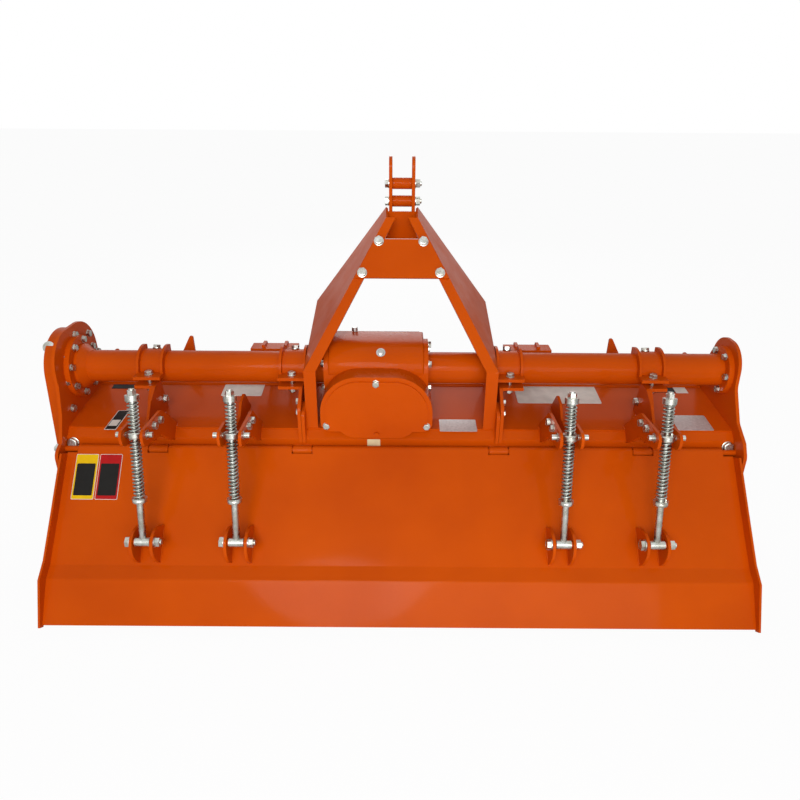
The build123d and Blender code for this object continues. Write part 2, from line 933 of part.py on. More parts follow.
def on_rod(x, solid):
    """Set a solid drawn along +Z from the board's pin onto the rod at x."""
    return Pos(x, axis_y + rod_foot[0], rod_foot[1]) * Rot(rod_lean() - 90, 0, 0) * solid


def upright(radius, low, high):
    """A cylinder along +Z between two heights."""
    return Pos(0, 0, (low + high) / 2) * Cylinder(radius, high - low)


def make_rod(x):
    """A spring rod: eye, shank, collar, top washer and nut in one piece."""
    top = rod_span() + rod_past_trunnion
    rod = upright(rod_radius, 0, top + rod_end)
    rod += Rot(0, 90, 0) * Cylinder(eye_radius, lug_gap - 8)
    rod += upright(washer_radius, collar_height, collar_height + washer_thickness)
    rod += upright(top_washer_radius, top, top + top_washer_thickness)
    nut = extrude(RegularPolygon(nut_radius, 6), amount=nut_height)
    rod += Pos(0, 0, top + top_washer_thickness) * nut
    rod -= Rot(0, 90, 0) * Cylinder(pin_radius + running_gap, lug_gap)
    return on_rod(x, rod)


def make_spring(x, low, high):
    """The space of one coil spring round the rod."""
    sleeve = upright(spring_radius, low, high) - upright(spring_radius - spring_wire, low, high)
    return on_rod(x, sleeve)


def make_lower_hitch(side):
    """A lower hitch bracket: an angle on the main tube with two ears for the link's ball."""
    middle = side * lower_hitch_half_span
    rear = tube_ahead + tube_radius + running_gap
    front = rear + hitch_plate
    top = tube_up + hitch_plate_rise
    angle = polygon(
        (rear, tube_up - 70),
        (front, tube_up - 70),
        (front, top - hitch_plate),
        (hitch_shelf_front, top - hitch_plate),
        (hitch_shelf_front, top),
        (rear, top),
    )
    bracket = across(angle, middle - hitch_half_width, middle + hitch_half_width)
    eye = (lower_hitch_ahead, lower_hitch_up)
    ear = hull_of(eye, lower_hitch_radius, (front + 40, tube_up - ear_root_drop), lower_hitch_radius + 8)
    ear += polygon(
        (front, tube_up - 68),
        (front, top + 8),
        (hitch_shelf_front, top + 8),
        (hitch_shelf_front + 50, tube_up - 20),
        (hitch_shelf_front, tube_up - 68),
    )
    ear -= polygon((0, 480), (front, 480), (front, 700), (0, 700))
    ear -= disc(*eye, lower_hitch_bore / 2)
    for low in (middle - lower_hitch_gap / 2 - lower_hitch_ear, middle + lower_hitch_gap / 2):
        bracket += across(ear, low, low + lower_hitch_ear)
    return bracket


def fin_faces(side):
    """The tall fin and the low one on one side, drawn from behind."""
    tall = FilletPolyline(
        (side * 718, fin_foot),
        (side * 724, 640),
        (side * 735, 640),
        (side * 855, fin_foot),
        radius=[0, 5, 5, 0],
        close=True,
    )
    low = FilletPolyline(
        (side * 982, fin_foot),
        (side * 991, 590),
        (side * 1002, 590),
        (side * (side_x - 2), 556),
        (side * (side_x - 2), fin_foot),
        radius=[0, 5, 5, 0, 0],
        close=True,
    )
    return make_face(tall), make_face(low)


def make_front_fins():
    """Fins standing on the front of the hood."""
    fins = []
    for side in (-1, 1):
        for face in fin_faces(side):
            fin = from_behind(face, fin_rear, fin_rear + fin_thickness)
            fins += (fin - across(below_hood(), -side_x, side_x)).solids()
    return Compound(children=fins)


def make_skid(side):
    """A runner under a side plate, with the upright that it is bolted by."""
    sole = sheet(((-205, 36), (-150, 0), (150, 0), (236, 78)), skid_sole, 40, Side.LEFT)
    inner = side_x - skid_sole
    low, high = inner, inner + skid_width
    if side < 0:
        low, high = -high, -low
    web = rounded((-120, 4, 0), (130, 4, 0), (96, 188, 20), (-96, 188, 20))
    web_low = inner if side > 0 else -side_x
    return across(sole, low, high) + across(web, web_low, web_low + skid_sole)


def rotor_places():
    """Places of the blade flanges along the rotor."""
    first = -rotor_flange_pitch * (rotor_flange_count - 1) / 2
    return [first + n * rotor_flange_pitch for n in range(rotor_flange_count)]


def make_rotor_shaft():
    """The rotor's tube with its flanges and the two stubs."""
    end = side_x - rotor_end_gap
    rotor = bar((0, rotor_up), rotor_shaft_radius, -end, end)
    rotor += bar((0, rotor_up), stub_radius, -side_face - 19, side_face + 15)
    for x in rotor_places():
        half = rotor_flange_thickness / 2
        rotor += bar((0, rotor_up), rotor_flange_radius, x - half, x + half)
    return rotor


def blade(way):
    """One L-shaped blade for a flange face at x = 0, its wing turned to +X or -X."""
    line = ((0, 58), (0, blade_reach - 4), (way * blade_wing, blade_reach - 4))
    side = Side.RIGHT if way > 0 else Side.LEFT
    section = sheet(line, blade_thickness, blade_bend, side)
    width = 110.0
    bent = Pos(0, 0, -width / 2) * extrude(section, amount=width)
    profile = rounded(
        (-24, 54, 0), (22, 54, 0), (20, 132, 40), (40, 186, 20), (36, 240, 0), (-22, 240, 0), (-26, 150, 60)
    )
    plane = Plane(origin=(-120, 0, 0), x_dir=(0, 0, 1), z_dir=(-1, 0, 0))
    keep = extrude(plane * profile, amount=-240)
    return Rot(90, 0, 0) * (bent & keep)


def make_blades(way):
    """Every blade of the rotor whose wing turns the same way."""
    blades = []
    for n, x in enumerate(rotor_places()):
        for k in range(blades_each_way):
            phase = 0 if way > 0 else 180 / blades_each_way
            angle = phase + k * 360 / blades_each_way + n * flange_twist
            seat = x + way * rotor_flange_thickness / 2
            place = Pos(seat, axis_y, rotor_up) * Rot(angle, 0, 0)
            blades += (place * blade(way)).solids()
    return Compound(children=blades)


def make_parts():
    """Every sub-part by name."""
    parts = {
        "hood": make_hood(),
        "rear_beam": make_rear_beam(),
        "hinge_rod": bar(hinge_line, hinge_rod_radius, -side_face - 12, side_face + 12),
        "side_plate_left": make_side_plate(-1),
        "side_plate_right": make_side_plate(1),
        "gear_case": make_gear_case(),
        "gear_case_cover": make_gear_case_cover(),
        "rotor_hub": make_rotor_hub(),
        "main_tube_left": make_main_tube_left(),
        "main_tube_right": make_main_tube_right(),
        "gearbox_housing": make_gearbox_housing(),
        "gearbox_cover": make_gearbox_cover(),
        "mast_arm_left": make_mast_arm(-1),
        "mast_arm_right": make_mast_arm(1),
        "mast_cross_plate": make_mast_plate(0.595, 0.85, 4, 8, 0),
        "mast_cap": make_mast_cap(),
        "top_link_clevis": make_clevis(),
        "tube_clamps_inner": pair(clamp, inner_clamp_x),
        "tube_clamps_outer": pair(clamp, outer_clamp_x),
        "tube_supports_inner": pair(inner_support, inner_clamp_x),
        "tube_supports_outer": pair(outer_support, outer_clamp_x),
        "mast_ribs": pair(rib_on_hood, mast_foot_x),
        "lower_hitch_left": make_lower_hitch(-1),
        "lower_hitch_right": make_lower_hitch(1),
        "front_fins": make_front_fins(),
        "skid_left": make_skid(-1),
        "skid_right": make_skid(1),
        "rotor_shaft": make_rotor_shaft(),
        "blades_left": make_blades(-1),
        "blades_right": make_blades(1),
        "pto_shaft": make_pto_shaft(),
        "board": make_board(),
        "board_end_left": make_board_end(-1),
        "board_end_right": make_board_end(1),
    }
    spring_top = rod_span() - trunnion_height / 2 - running_gap
    upper_foot = rod_span() + trunnion_height / 2 + running_gap
    for n, x in enumerate(rod_places, start=1):
        parts[f"spring_bracket_{n}"] = make_spring_bracket(x)
        parts[f"board_lug_{n}"] = make_board_lug(x)
        parts[f"trunnion_{n}"] = make_trunnion(x)
        parts[f"rod_{n}"] = make_rod(x)
        low = collar_height + washer_thickness + running_gap
        parts[f"lower_spring_{n}"] = make_spring(x, low, spring_top)
        high = rod_span() + rod_past_trunnion - running_gap
        parts[f"upper_spring_{n}"] = make_spring(x, upper_foot, high)
    return parts


def main():
    os.makedirs("parts", exist_ok=True)
    for name, solid in make_parts().items():
        export_step(solid, f"parts/{name}.step")


main()
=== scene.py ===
import json
import logging
import math
from collections.abc import Callable, Iterator
from contextlib import contextmanager
from dataclasses import dataclass, field
from enum import Enum

import bmesh
import bpy
from mathutils import Matrix, Vector


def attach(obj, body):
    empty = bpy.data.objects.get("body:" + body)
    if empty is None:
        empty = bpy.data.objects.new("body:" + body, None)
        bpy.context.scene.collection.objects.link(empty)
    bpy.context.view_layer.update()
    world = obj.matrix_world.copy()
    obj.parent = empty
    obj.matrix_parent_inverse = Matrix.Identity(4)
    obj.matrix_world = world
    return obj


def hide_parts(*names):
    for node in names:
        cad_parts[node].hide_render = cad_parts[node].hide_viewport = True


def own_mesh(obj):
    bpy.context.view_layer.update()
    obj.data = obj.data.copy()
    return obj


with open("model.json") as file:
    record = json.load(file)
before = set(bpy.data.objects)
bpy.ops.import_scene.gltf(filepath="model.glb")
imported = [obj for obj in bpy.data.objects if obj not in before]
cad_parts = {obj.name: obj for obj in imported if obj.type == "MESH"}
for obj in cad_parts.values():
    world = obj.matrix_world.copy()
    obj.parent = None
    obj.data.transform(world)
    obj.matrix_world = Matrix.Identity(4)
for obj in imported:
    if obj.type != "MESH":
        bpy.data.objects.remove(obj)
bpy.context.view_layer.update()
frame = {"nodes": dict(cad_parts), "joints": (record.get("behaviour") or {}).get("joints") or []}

# A rotavator for a tractor's three-point linkage, seen from behind and above.
# Places are given as (x, ahead, up) in metres: x to the right seen from behind, ahead of the
# rotor's plane, and up from the floor.

JOINTS = {joint["name"]: joint for joint in frame["joints"]}
AXIS_Y = JOINTS["rotor_spin"]["pos_m"][1]
ROTOR_UP = JOINTS["rotor_spin"]["pos_m"][2]

# The main tube's axis as (ahead, up), and its radius.
TUBE = (-0.045, 0.615)
TUBE_RADIUS = 0.050
# The inner and outer face of the side plates, across the machine.
SIDE_X = 1.027
SIDE_FACE = 1.037
# The hinge rod and the two edges of the hood's slope as (ahead, up), and the beam's rear face.
HINGE = (-0.224, 0.412)
HOOD_REAR = (-0.185, 0.4675)
HOOD_CREST = (0.080, 0.502)
BEAM_FACE = -0.205
# The round ends of the side gear case as (ahead, up, radius).
CASE_TOP = (-0.022, 0.606, 0.122)
CASE_FOOT = (0.0, 0.262, 0.176)
# Where clamps, spring rods and the beam's tongues stand across the machine.
CLAMPS = (-0.778, -0.337, 0.337, 0.778)
RODS = (-0.728, -0.463, 0.463, 0.728)
TONGUES = (-0.740, -0.300, 0.300, 0.740)
CLAMP_BOLT_AHEAD = -0.121
# The lugs and plates beside a rod have their faces this far from it.
PLATE_INSIDE = 0.025
PLATE_OUTSIDE = 0.033
# The top washer of a rod stands this far over the trunnion's middle.
WASHER_PAST = 0.1037
# Thread diameters, named for where most bolts of each size stand.
HITCH_BOLT = 0.008
CAP_BOLT = 0.009
PLATE_BOLT = 0.012
CASE_BOLT = 0.013
CLAMP_BOLT = 0.014
MAST_BOLT = 0.016
PIN_HEAD = 0.0178
HINGE_BOLT = 0.018
# Heights of films over their face: on the face, on a first film, and on a second one.
LAYERS = (0.0004, 0.0009, 0.0014)
# Edges flatter than this, in degrees, are smooth on turned parts and on wires and beads.
TURNED_ANGLE = 40.0
ROUND_ANGLE = 60.0

log = logging.getLogger("rotavator")


class Side(Enum):
    """Which end of the machine a piece belongs to, seen from behind."""

    LEFT = -1
    RIGHT = 1


class Fixing(Enum):
    """What shows of a fastener where it stands."""

    HEAD = "head"
    NUT = "nut"
    WASHER = "washer"


def at(x: float, ahead: float, up: float) -> Vector:
    """Turn a place on the machine into the frame's coordinates."""
    return Vector((x, AXIS_Y + ahead, up))


def deselect() -> None:
    """Leave nothing selected."""
    for item in list(bpy.context.selected_objects):
        item.select_set(False)


def focus(*items: bpy.types.Object) -> None:
    """Select some objects only, and make the first one active.

    Args:
        *items: the objects.
    """
    deselect()
    for item in items:
        item.select_set(True)
    bpy.context.view_layer.objects.active = items[0]


@contextmanager
def editing(item: bpy.types.Object) -> Iterator[None]:
    """Hold an object in edit mode.

    Args:
        item: the mesh object to edit.
    """
    focus(item)
    bpy.ops.object.mode_set(mode="EDIT")
    try:
        yield
    finally:
        bpy.ops.object.mode_set(mode="OBJECT")


def pick_faces(item: bpy.types.Object, test: Callable[[Vector, Vector], bool]) -> None:
    """Select the faces of the mesh in edit mode that pass a test.

    Args:
        item: the object in edit mode.
        test: is given a face's middle and normal.
    """
    bpy.ops.mesh.select_mode(type="FACE")
    mesh = bmesh.from_edit_mesh(item.data)
    for face in mesh.faces:
        face.select_set(test(face.calc_center_median(), face.normal))
    mesh.select_flush_mode()
    bmesh.update_edit_mesh(item.data)


def apply_modifiers(item: bpy.types.Object) -> None:
    """Apply every modifier of an object.

    Args:
        item: the mesh object.
    """
    focus(item)
    for modifier in list(item.modifiers):
        bpy.ops.object.modifier_apply(modifier=modifier.name)


def bevel(item: bpy.types.Object, width: float, segments: int) -> None:
    """Round an object's sharp edges and apply the modifier.

    Args:
        item: the mesh object.
        width: the bevel's width in metres.
        segments: faces across the bevel.
    """
    modifier = item.modifiers.new("edges", "BEVEL")
    modifier.width = width
    modifier.segments = segments
    modifier.limit_method = "ANGLE"
    modifier.angle_limit = math.radians(40)
    apply_modifiers(item)


def join(items: list[bpy.types.Object]) -> bpy.types.Object:
    """Join mesh objects into the first one.

    Args:
        items: the objects.

    Returns:
        The joined object.
    """
    focus(*items)
    if len(items) > 1:
        bpy.ops.object.join()
    return items[0]


def bake_place(item: bpy.types.Object) -> None:
    """Move an object's place into its mesh, so that it sits at the origin."""
    focus(item)
    bpy.ops.object.transform_apply(location=True, rotation=True, scale=True)


def copies(template: bpy.types.Object, places: list[Matrix], name: str) -> bpy.types.Object:
    """Copy a template to many places and join the copies.

    Args:
        template: the piece modelled once.
        places: one matrix for each copy.
        name: the joined piece's name.

    Returns:
        The joined piece.
    """
    made = []
    for place in places:
        twin = template.copy()
        twin.data = template.data.copy()
        twin.matrix_world = place @ template.matrix_world
        bpy.context.scene.collection.objects.link(twin)
        made.append(twin)
    bpy.context.view_layer.update()
    for twin in made:
        bake_place(twin)
    piece = join(made)
    piece.name = name
    piece.data.name = name
    return piece


def discard(*items: bpy.types.Object) -> None:
    """Remove templates that are no longer needed."""
    for item in items:
        bpy.data.objects.remove(item)


def settle(
    item: bpy.types.Object, name: str, finish: "Finish", body: str, angle: float = 35.0
) -> bpy.types.Object:
    """Finish a piece: name, place, shading, material and the body it rides on.

    Args:
        item: the modelled object.
        name: the piece's name.
        finish: its finish.
        body: the body that carries it.
        angle: edges flatter than this, in degrees, are shaded smooth.

    Returns:
        The same object.
    """
    bake_place(item)
    bpy.ops.object.shade_smooth_by_angle(angle=math.radians(angle))
    item.name = name
    item.data.name = name
    if not item.data.materials:
        item.data.materials.append(finish.material())
    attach(item, body)
    log.info("%s rides on %s", name, body)
    return item


def facing(out: Vector, spin: float = 0.0) -> Matrix:
    """The turn that points a template's +Z along a direction.

    Args:
        out: the direction to face.
        spin: a turn about that direction, in degrees.

    Returns:
        The turn as a matrix.
    """
    turn = out.to_track_quat("Z", "Y").to_matrix().to_4x4()
    return turn @ Matrix.Rotation(math.radians(spin), 4, "Z")


class NodeSheet:
    """A material's node tree with short ways to add and link nodes."""

    def __init__(self, name: str) -> None:
        """Start a material with a Principled shader.

        Args:
            name: the material's name.
        """
        self.material = bpy.data.materials.new(name)
        self.material.use_nodes = True
        self.tree = self.material.node_tree
        self.shader = self.tree.nodes["Principled BSDF"]
        self.coordinates = self.add("ShaderNodeTexCoord").outputs["Object"]

    def add(self, kind: str, **values: object) -> bpy.types.Node:
        """Add a node.

        Args:
            kind: the node's class name.
            **values: attributes to set on it.

        Returns:
            The node.
        """
        node = self.tree.nodes.new(kind)
        for key, value in values.items():
            setattr(node, key, value)
        return node

    def link(self, source: bpy.types.NodeSocket, target: bpy.types.NodeSocket) -> None:
        """Join two sockets."""
        self.tree.links.new(source, target)

    def noise(
        self, scale: float, detail: float, roughness: float = 0.5
    ) -> bpy.types.NodeSocket:
        """A noise pattern on the piece.

        Args:
            scale: features per metre, roughly.
            detail: octaves.
            roughness: weight of the finer octaves.

        Returns:
            The pattern's value socket.
        """
        node = self.add("ShaderNodeTexNoise")
        node.inputs["Scale"].default_value = scale
        node.inputs["Detail"].default_value = detail
        node.inputs["Roughness"].default_value = roughness
        self.link(self.coordinates, node.inputs["Vector"])
        return node.outputs["Fac"]

    def colour(
        self, source: bpy.types.NodeSocket, span: tuple, dark: tuple, light: tuple
    ) -> None:
        """Give the surface a colour between two, by a pattern.

        Args:
            source: the pattern.
            span: pattern values that take the first and the second colour.
            dark: first colour.
            light: second colour.
        """
        node = self.add("ShaderNodeValToRGB")
        ends = node.color_ramp.elements
        ends[0].position, ends[1].position = span
        ends[0].color, ends[1].color = (*dark, 1), (*light, 1)
        self.link(source, node.inputs["Fac"])
        self.link(node.outputs["Color"], self.shader.inputs["Base Color"])

    def roughness(
        self, source: bpy.types.NodeSocket, span: tuple, least: float, most: float
    ) -> None:
        """Give the surface a roughness between two, by a pattern.

        Args:
            source: the pattern.
            span: pattern values that give the least and the most.
            least: lowest roughness.
            most: highest roughness.
        """
        node = self.add("ShaderNodeMapRange")
        keys = ("From Min", "From Max", "To Min", "To Max")
        for key, value in zip(keys, (*span, least, most)):
            node.inputs[key].default_value = value
        self.link(source, node.inputs["Value"])
        self.link(node.outputs["Result"], self.shader.inputs["Roughness"])

    def bump(self, scale: float, strength: float, depth: float) -> None:
        """Raise the surface by a fine noise.

        Args:
            scale: features per metre, roughly.
            strength: share of the full effect.
            depth: height of the pattern in metres.
        """
        source = self.noise(scale, 2.0)
        node = self.add("ShaderNodeBump")
        node.inputs["Strength"].default_value = strength
        node.inputs["Distance"].default_value = depth
        self.link(source, node.inputs["Height"])
        normal = self.shader.inputs["Normal"]
        if normal.links:
            self.link(normal.links[0].from_socket, node.inputs["Normal"])
        self.link(node.outputs["Normal"], normal)

    def set(self, **values: object) -> None:
        """Set constant inputs of the shader.

        Args:
            **values: the inputs, named with _ for each space.
        """
        for key, value in values.items():
            self.shader.inputs[key.replace("_", " ")].default_value = value


@dataclass(frozen=True)
class Finish:
    """A surface finish that is made a material once and then shared.

    Args:
        name: the material's name.
    """

    name: str

    def material(self) -> bpy.types.Material:
        """Make the material when it is first asked for.

        Returns:
            The material.
        """
        known = bpy.data.materials.get(self.name)
        if known is not None:
            return known
        sheet = NodeSheet(self.name)
        self.paint(sheet)
        return sheet.material

    def paint(self, sheet: NodeSheet) -> None:
        """Set the nodes of the material."""
        raise NotImplementedError


@dataclass(frozen=True)
class SprayPaint(Finish):
    """Glossy sprayed enamel over steel or a casting.

    Args:
        colour: the paint's colour.
        thin: the colour where the coat is thin.
        gloss: roughness where the coat is clean.
        dull: roughness where dust lies.
        sheen: strength of the shine under the top coat.
        sheen_tint: colour of that shine.
        lacquer: weight of the clear top coat.
        lacquer_gloss: roughness of the top coat.
        lacquer_index: how strongly the top coat mirrors.
        grain: depth of the surface's grain in metres.
        grain_scale: grain features per metre.
        wave: depth of the sheet's slow waves in metres.
    """

    colour: tuple = (0.60, 0.080, 0.0012)
    thin: tuple = (0.51, 0.062, 0.0012)
    gloss: float = 0.30
    dull: float = 0.44
    sheen: float = 0.05
    sheen_tint: tuple = (1.0, 0.45, 0.25, 1.0)
    lacquer: float = 0.12
    lacquer_gloss: float = 0.07
    lacquer_index: float = 1.38
    grain: float = 0.0002
    grain_scale: float = 260.0
    wave: float = 0.0020

    def paint(self, sheet: NodeSheet) -> None:
        """Set the nodes of the material.

        Args:
            sheet: the material's node sheet.
        """
        sheet.colour(sheet.noise(3.2, 4.0), (0.30, 0.68), self.thin, self.colour)
        sheet.roughness(sheet.noise(11.0, 6.0, 0.62), (0.42, 0.72), self.gloss, self.dull)
        sheet.set(
            Coat_Weight=self.lacquer,
            Coat_Roughness=self.lacquer_gloss,
            Coat_IOR=self.lacquer_index,
            Specular_IOR_Level=self.sheen,
            Specular_Tint=self.sheen_tint,
        )
        sheet.bump(self.grain_scale, 0.35, self.grain)
        sheet.bump(9.0, 0.30, self.wave)


@dataclass(frozen=True)
class Plating(Finish):
    """Zinc plating with a faint yellow or blue cast, or bare steel.

    Args:
        bright: colour of the bright parts.
        warm: colour of the tinted parts.
        gloss: lowest roughness.
        dull: highest roughness.
        grain: depth of the surface's grain in metres.
    """

    bright: tuple = (0.58, 0.60, 0.57)
    warm: tuple = (0.42, 0.41, 0.35)
    gloss: float = 0.20
    dull: float = 0.42
    grain: float = 0.0002

    def paint(self, sheet: NodeSheet) -> None:
        """Set the nodes of the material.

        Args:
            sheet: the material's node sheet.
        """
        sheet.set(Metallic=1.0)
        sheet.colour(sheet.noise(45.0, 3.0), (0.35, 0.66), self.warm, self.bright)
        sheet.roughness(sheet.noise(160.0, 4.0), (0.3, 0.7), self.gloss, self.dull)
        sheet.bump(420.0, 0.25, self.grain)


@dataclass(frozen=True)
class Vinyl(Finish):
    """A printed sticker in one colour.

    Args:
        colour: the print's colour.
        fade: share of the colour that is left where it has faded most.
        gloss: roughness of the film.
        wear: how much rougher it gets where it is worn.
        sheen: strength of its shine.
        grain: depth of the surface's grain in metres.
    """

    colour: tuple = (0.8, 0.8, 0.78)
    fade: float = 0.86
    gloss: float = 0.3
    wear: float = 0.18
    sheen: float = 0.10
    grain: float = 0.0001

    def paint(self, sheet: NodeSheet) -> None:
        """Set the nodes of the material.

        Args:
            sheet: the material's node sheet.
        """
        faded = tuple(channel * self.fade for channel in self.colour)
        sheet.colour(sheet.noise(30.0, 4.0), (0.35, 0.62), faded, self.colour)
        sheet.set(Specular_IOR_Level=self.sheen)
        worn = self.gloss + self.wear
        sheet.roughness(sheet.noise(90.0, 3.0), (0.3, 0.7), self.gloss, worn)
        sheet.bump(700.0, 0.15, self.grain)


@dataclass(frozen=True)
class SatinPlate(Finish):
    """A bare rating plate of brushed aluminium.

    Args:
        metal: how metallic it looks, from 0 to 1.
        dark: colour of the dull grains.
        light: colour of the bright grains.
        gloss: lowest roughness.
        dull: highest roughness.
        grain: depth of the surface's grain in metres.
    """

    metal: float = 0.6
    dark: tuple = (0.50, 0.49, 0.48)
    light: tuple = (0.66, 0.65, 0.64)
    gloss: float = 0.34
    dull: float = 0.5
    grain: float = 0.0001

    def paint(self, sheet: NodeSheet) -> None:
        """Set the nodes of the material.

        Args:
            sheet: the material's node sheet.
        """
        sheet.set(Metallic=self.metal)
        grain = sheet.noise(140.0, 5.0)
        sheet.colour(grain, (0.3, 0.7), self.dark, self.light)
        sheet.roughness(grain, (0.3, 0.7), self.gloss, self.dull)
        sheet.bump(900.0, 0.2, self.grain)


PAINT = SprayPaint("orange_enamel")
CAST_PAINT = SprayPaint(
    "orange_enamel_on_casting", grain=0.0010, grain_scale=170.0, gloss=0.24, dull=0.40
)
ZINC = Plating("zinc_plating")
SPRING_ZINC = Plating(
    "zinc_spring_wire", bright=(0.44, 0.46, 0.43), warm=(0.24, 0.25, 0.22), gloss=0.26
)
STEEL = Plating(
    "machined_steel", bright=(0.55, 0.55, 0.55), warm=(0.40, 0.39, 0.37), gloss=0.28, dull=0.46
)
BLACK_FILM = Vinyl("black_film", colour=(0.014, 0.013, 0.012))
YELLOW_FILM = Vinyl("yellow_film", colour=(0.82, 0.50, 0.006))
RED_FILM = Vinyl("red_film", colour=(0.46, 0.012, 0.012))
PALE_FILM = Vinyl("pale_film", colour=(0.72, 0.68, 0.62))
CREAM_FILM = Vinyl("cream_film", colour=(0.74, 0.60, 0.36))
SILVER_PLATE = SatinPlate("satin_plate")


@dataclass
class Studio:
    """Camera, lamps, floor and background.

    Args:
        focal: focal length in millimetres on the sensor.
        sensor: sensor width in millimetres.
        pitch: how far the camera looks down, in degrees.
        roll: how far it leans to the left, in degrees.
        height: its height over the floor.
        behind: its distance behind the rotor's plane.
        shift_x: its place across the machine.
        floor_size: length of the floor's sides.
        floor_tone: the floor's grey.
        floor_glow: how much of the floor's whiteness doesn't come from the lamps.
        daylight: strength of the world's light on the machine.
        aim_up: height of the place that the lamps point at.
        lamps: name, place, size and power of every lamp.
    """

    focal: float = 29.25
    sensor: float = 36.0
    pitch: float = 25.0
    roll: float = 0.37
    height: float = 1.398
    behind: float = 1.97
    shift_x: float = -0.0024
    floor_size: float = 60.0
    floor_tone: float = 0.9
    floor_glow: float = 0.95
    daylight: float = 0.27
    aim_up: float = 0.45
    lamps: tuple = (
        ("key", (-0.5, -3.8, 2.3), 2.0, 84.0),
        ("fill", (0.9, -3.7, 1.5), 2.2, 34.0),
        ("top", (0.0, 0.6, 3.8), 3.0, 8.0),
        ("front", (0.0, 4.2, 2.6), 3.0, 40.0),
    )

    def camera(self) -> None:
        """Stand the camera where the photograph was taken from."""
        data = bpy.data.cameras.new("camera")
        data.sensor_width = self.sensor
        data.lens = self.focal
        camera = bpy.data.objects.new("camera", data)
        bpy.context.scene.collection.objects.link(camera)
        turn = Matrix.Rotation(math.radians(90 - self.pitch), 4, "X")
        lean = Matrix.Rotation(math.radians(self.roll), 4, "Z")
        place = Matrix.Translation(at(self.shift_x, -self.behind, self.height))
        camera.matrix_world = place @ turn @ lean
        bpy.context.scene.camera = camera

    def light(self) -> None:
        """Set soft lamps round the machine."""
        for name, place, size, power in self.lamps:
            data = bpy.data.lights.new(name, "AREA")
            data.shape = "DISK"
            data.size = size
            data.energy = power
            lamp = bpy.data.objects.new(name, data)
            aim = Vector((0, AXIS_Y, self.aim_up)) - at(*place)
            turn = aim.to_track_quat("-Z", "Y").to_matrix().to_4x4()
            lamp.matrix_world = Matrix.Translation(at(*place)) @ turn
            bpy.context.scene.collection.objects.link(lamp)

    def white_to_eye(self, tree: bpy.types.NodeTree) -> bpy.types.NodeSocket:
        """A value of one where the camera, a gloss or a transmission ray looks.

        Args:
            tree: the node tree that needs it.

        Returns:
            The value socket.
        """
        path = tree.nodes.new("ShaderNodeLightPath")
        first = tree.nodes.new("ShaderNodeMath")
        first.operation = "MAXIMUM"
        second = tree.nodes.new("ShaderNodeMath")
        second.operation = "MAXIMUM"
        tree.links.new(path.outputs["Is Camera Ray"], first.inputs[0])
        tree.links.new(path.outputs["Is Glossy Ray"], first.inputs[1])
        tree.links.new(first.outputs[0], second.inputs[0])
        tree.links.new(path.outputs["Is Transmission Ray"], second.inputs[1])
        return second.outputs[0]

    def background(self) -> None:
        """A pale world that gives a soft even light and shows white."""
        world = bpy.data.worlds.new("world")
        bpy.context.scene.world = world
        world.use_nodes = True
        tree = world.node_tree
        soft = tree.nodes["Background"]
        soft.inputs["Color"].default_value = (1, 1, 1, 1)
        soft.inputs["Strength"].default_value = self.daylight
        white = tree.nodes.new("ShaderNodeBackground")
        white.inputs["Color"].default_value = (1, 1, 1, 1)
        white.inputs["Strength"].default_value = 1.0
        mix = tree.nodes.new("ShaderNodeMixShader")
        tree.links.new(self.white_to_eye(tree), mix.inputs[0])
        tree.links.new(soft.outputs[0], mix.inputs[1])
        tree.links.new(white.outputs[0], mix.inputs[2])
        tree.links.new(mix.outputs[0], tree.nodes["World Output"].inputs["Surface"])

    def floor(self) -> None:
        """A plain pale floor that keeps a soft shadow."""
        deselect()
        bpy.ops.mesh.primitive_plane_add(size=self.floor_size)
        floor = bpy.context.active_object
        floor.name = "floor"
        material = bpy.data.materials.new("floor")
        material.use_nodes = True
        tree = material.node_tree
        shader = tree.nodes["Principled BSDF"]
        shader.inputs["Base Color"].default_value = (*[self.floor_tone] * 3, 1)
        shader.inputs["Roughness"].default_value = 0.9
        glow = tree.nodes.new("ShaderNodeEmission")
        share = tree.nodes.new("ShaderNodeMath")
        share.operation = "MULTIPLY"
        share.inputs[1].default_value = self.floor_glow
        path = tree.nodes.new("ShaderNodeLightPath")
        tree.links.new(path.outputs["Is Camera Ray"], share.inputs[0])
        mix = tree.nodes.new("ShaderNodeMixShader")
        tree.links.new(share.outputs[0], mix.inputs[0])
        tree.links.new(shader.outputs[0], mix.inputs[1])
        tree.links.new(glow.outputs[0], mix.inputs[2])
        tree.links.new(mix.outputs[0], tree.nodes["Material Output"].inputs["Surface"])
        floor.data.materials.append(material)

    def build(self) -> None:
        """Set up the whole studio."""
        bpy.context.scene.view_settings.view_transform = "Standard"
        self.camera()
        self.light()
        self.background()
        self.floor()


@dataclass
class Coat:
    """Which finish each solid of the frame wears; all others are painted.

    Args:
        castings: names of the painted castings.
        plated: how the names of plated parts begin.
        machined: names of the bare steel parts.
    """

    castings: tuple = ("gearbox_housing", "gearbox_cover", "rotor_hub")
    plated: tuple = ("rod_", "trunnion_")
    machined: tuple = ("pto_shaft",)

    def finish_of(self, node: str) -> Finish:
        """Choose the finish of a node by its name.

        Args:
            node: the node's name.

        Returns:
            The finish.
        """
        if node.startswith(self.plated):
            return ZINC
        if node in self.machined:
            return STEEL
        return CAST_PAINT if node in self.castings else PAINT

    def dress(self) -> None:
        """Give every solid of the frame its finish."""
        for name, node in frame["nodes"].items():
            node.data.materials.clear()
            node.data.materials.append(self.finish_of(name).material())


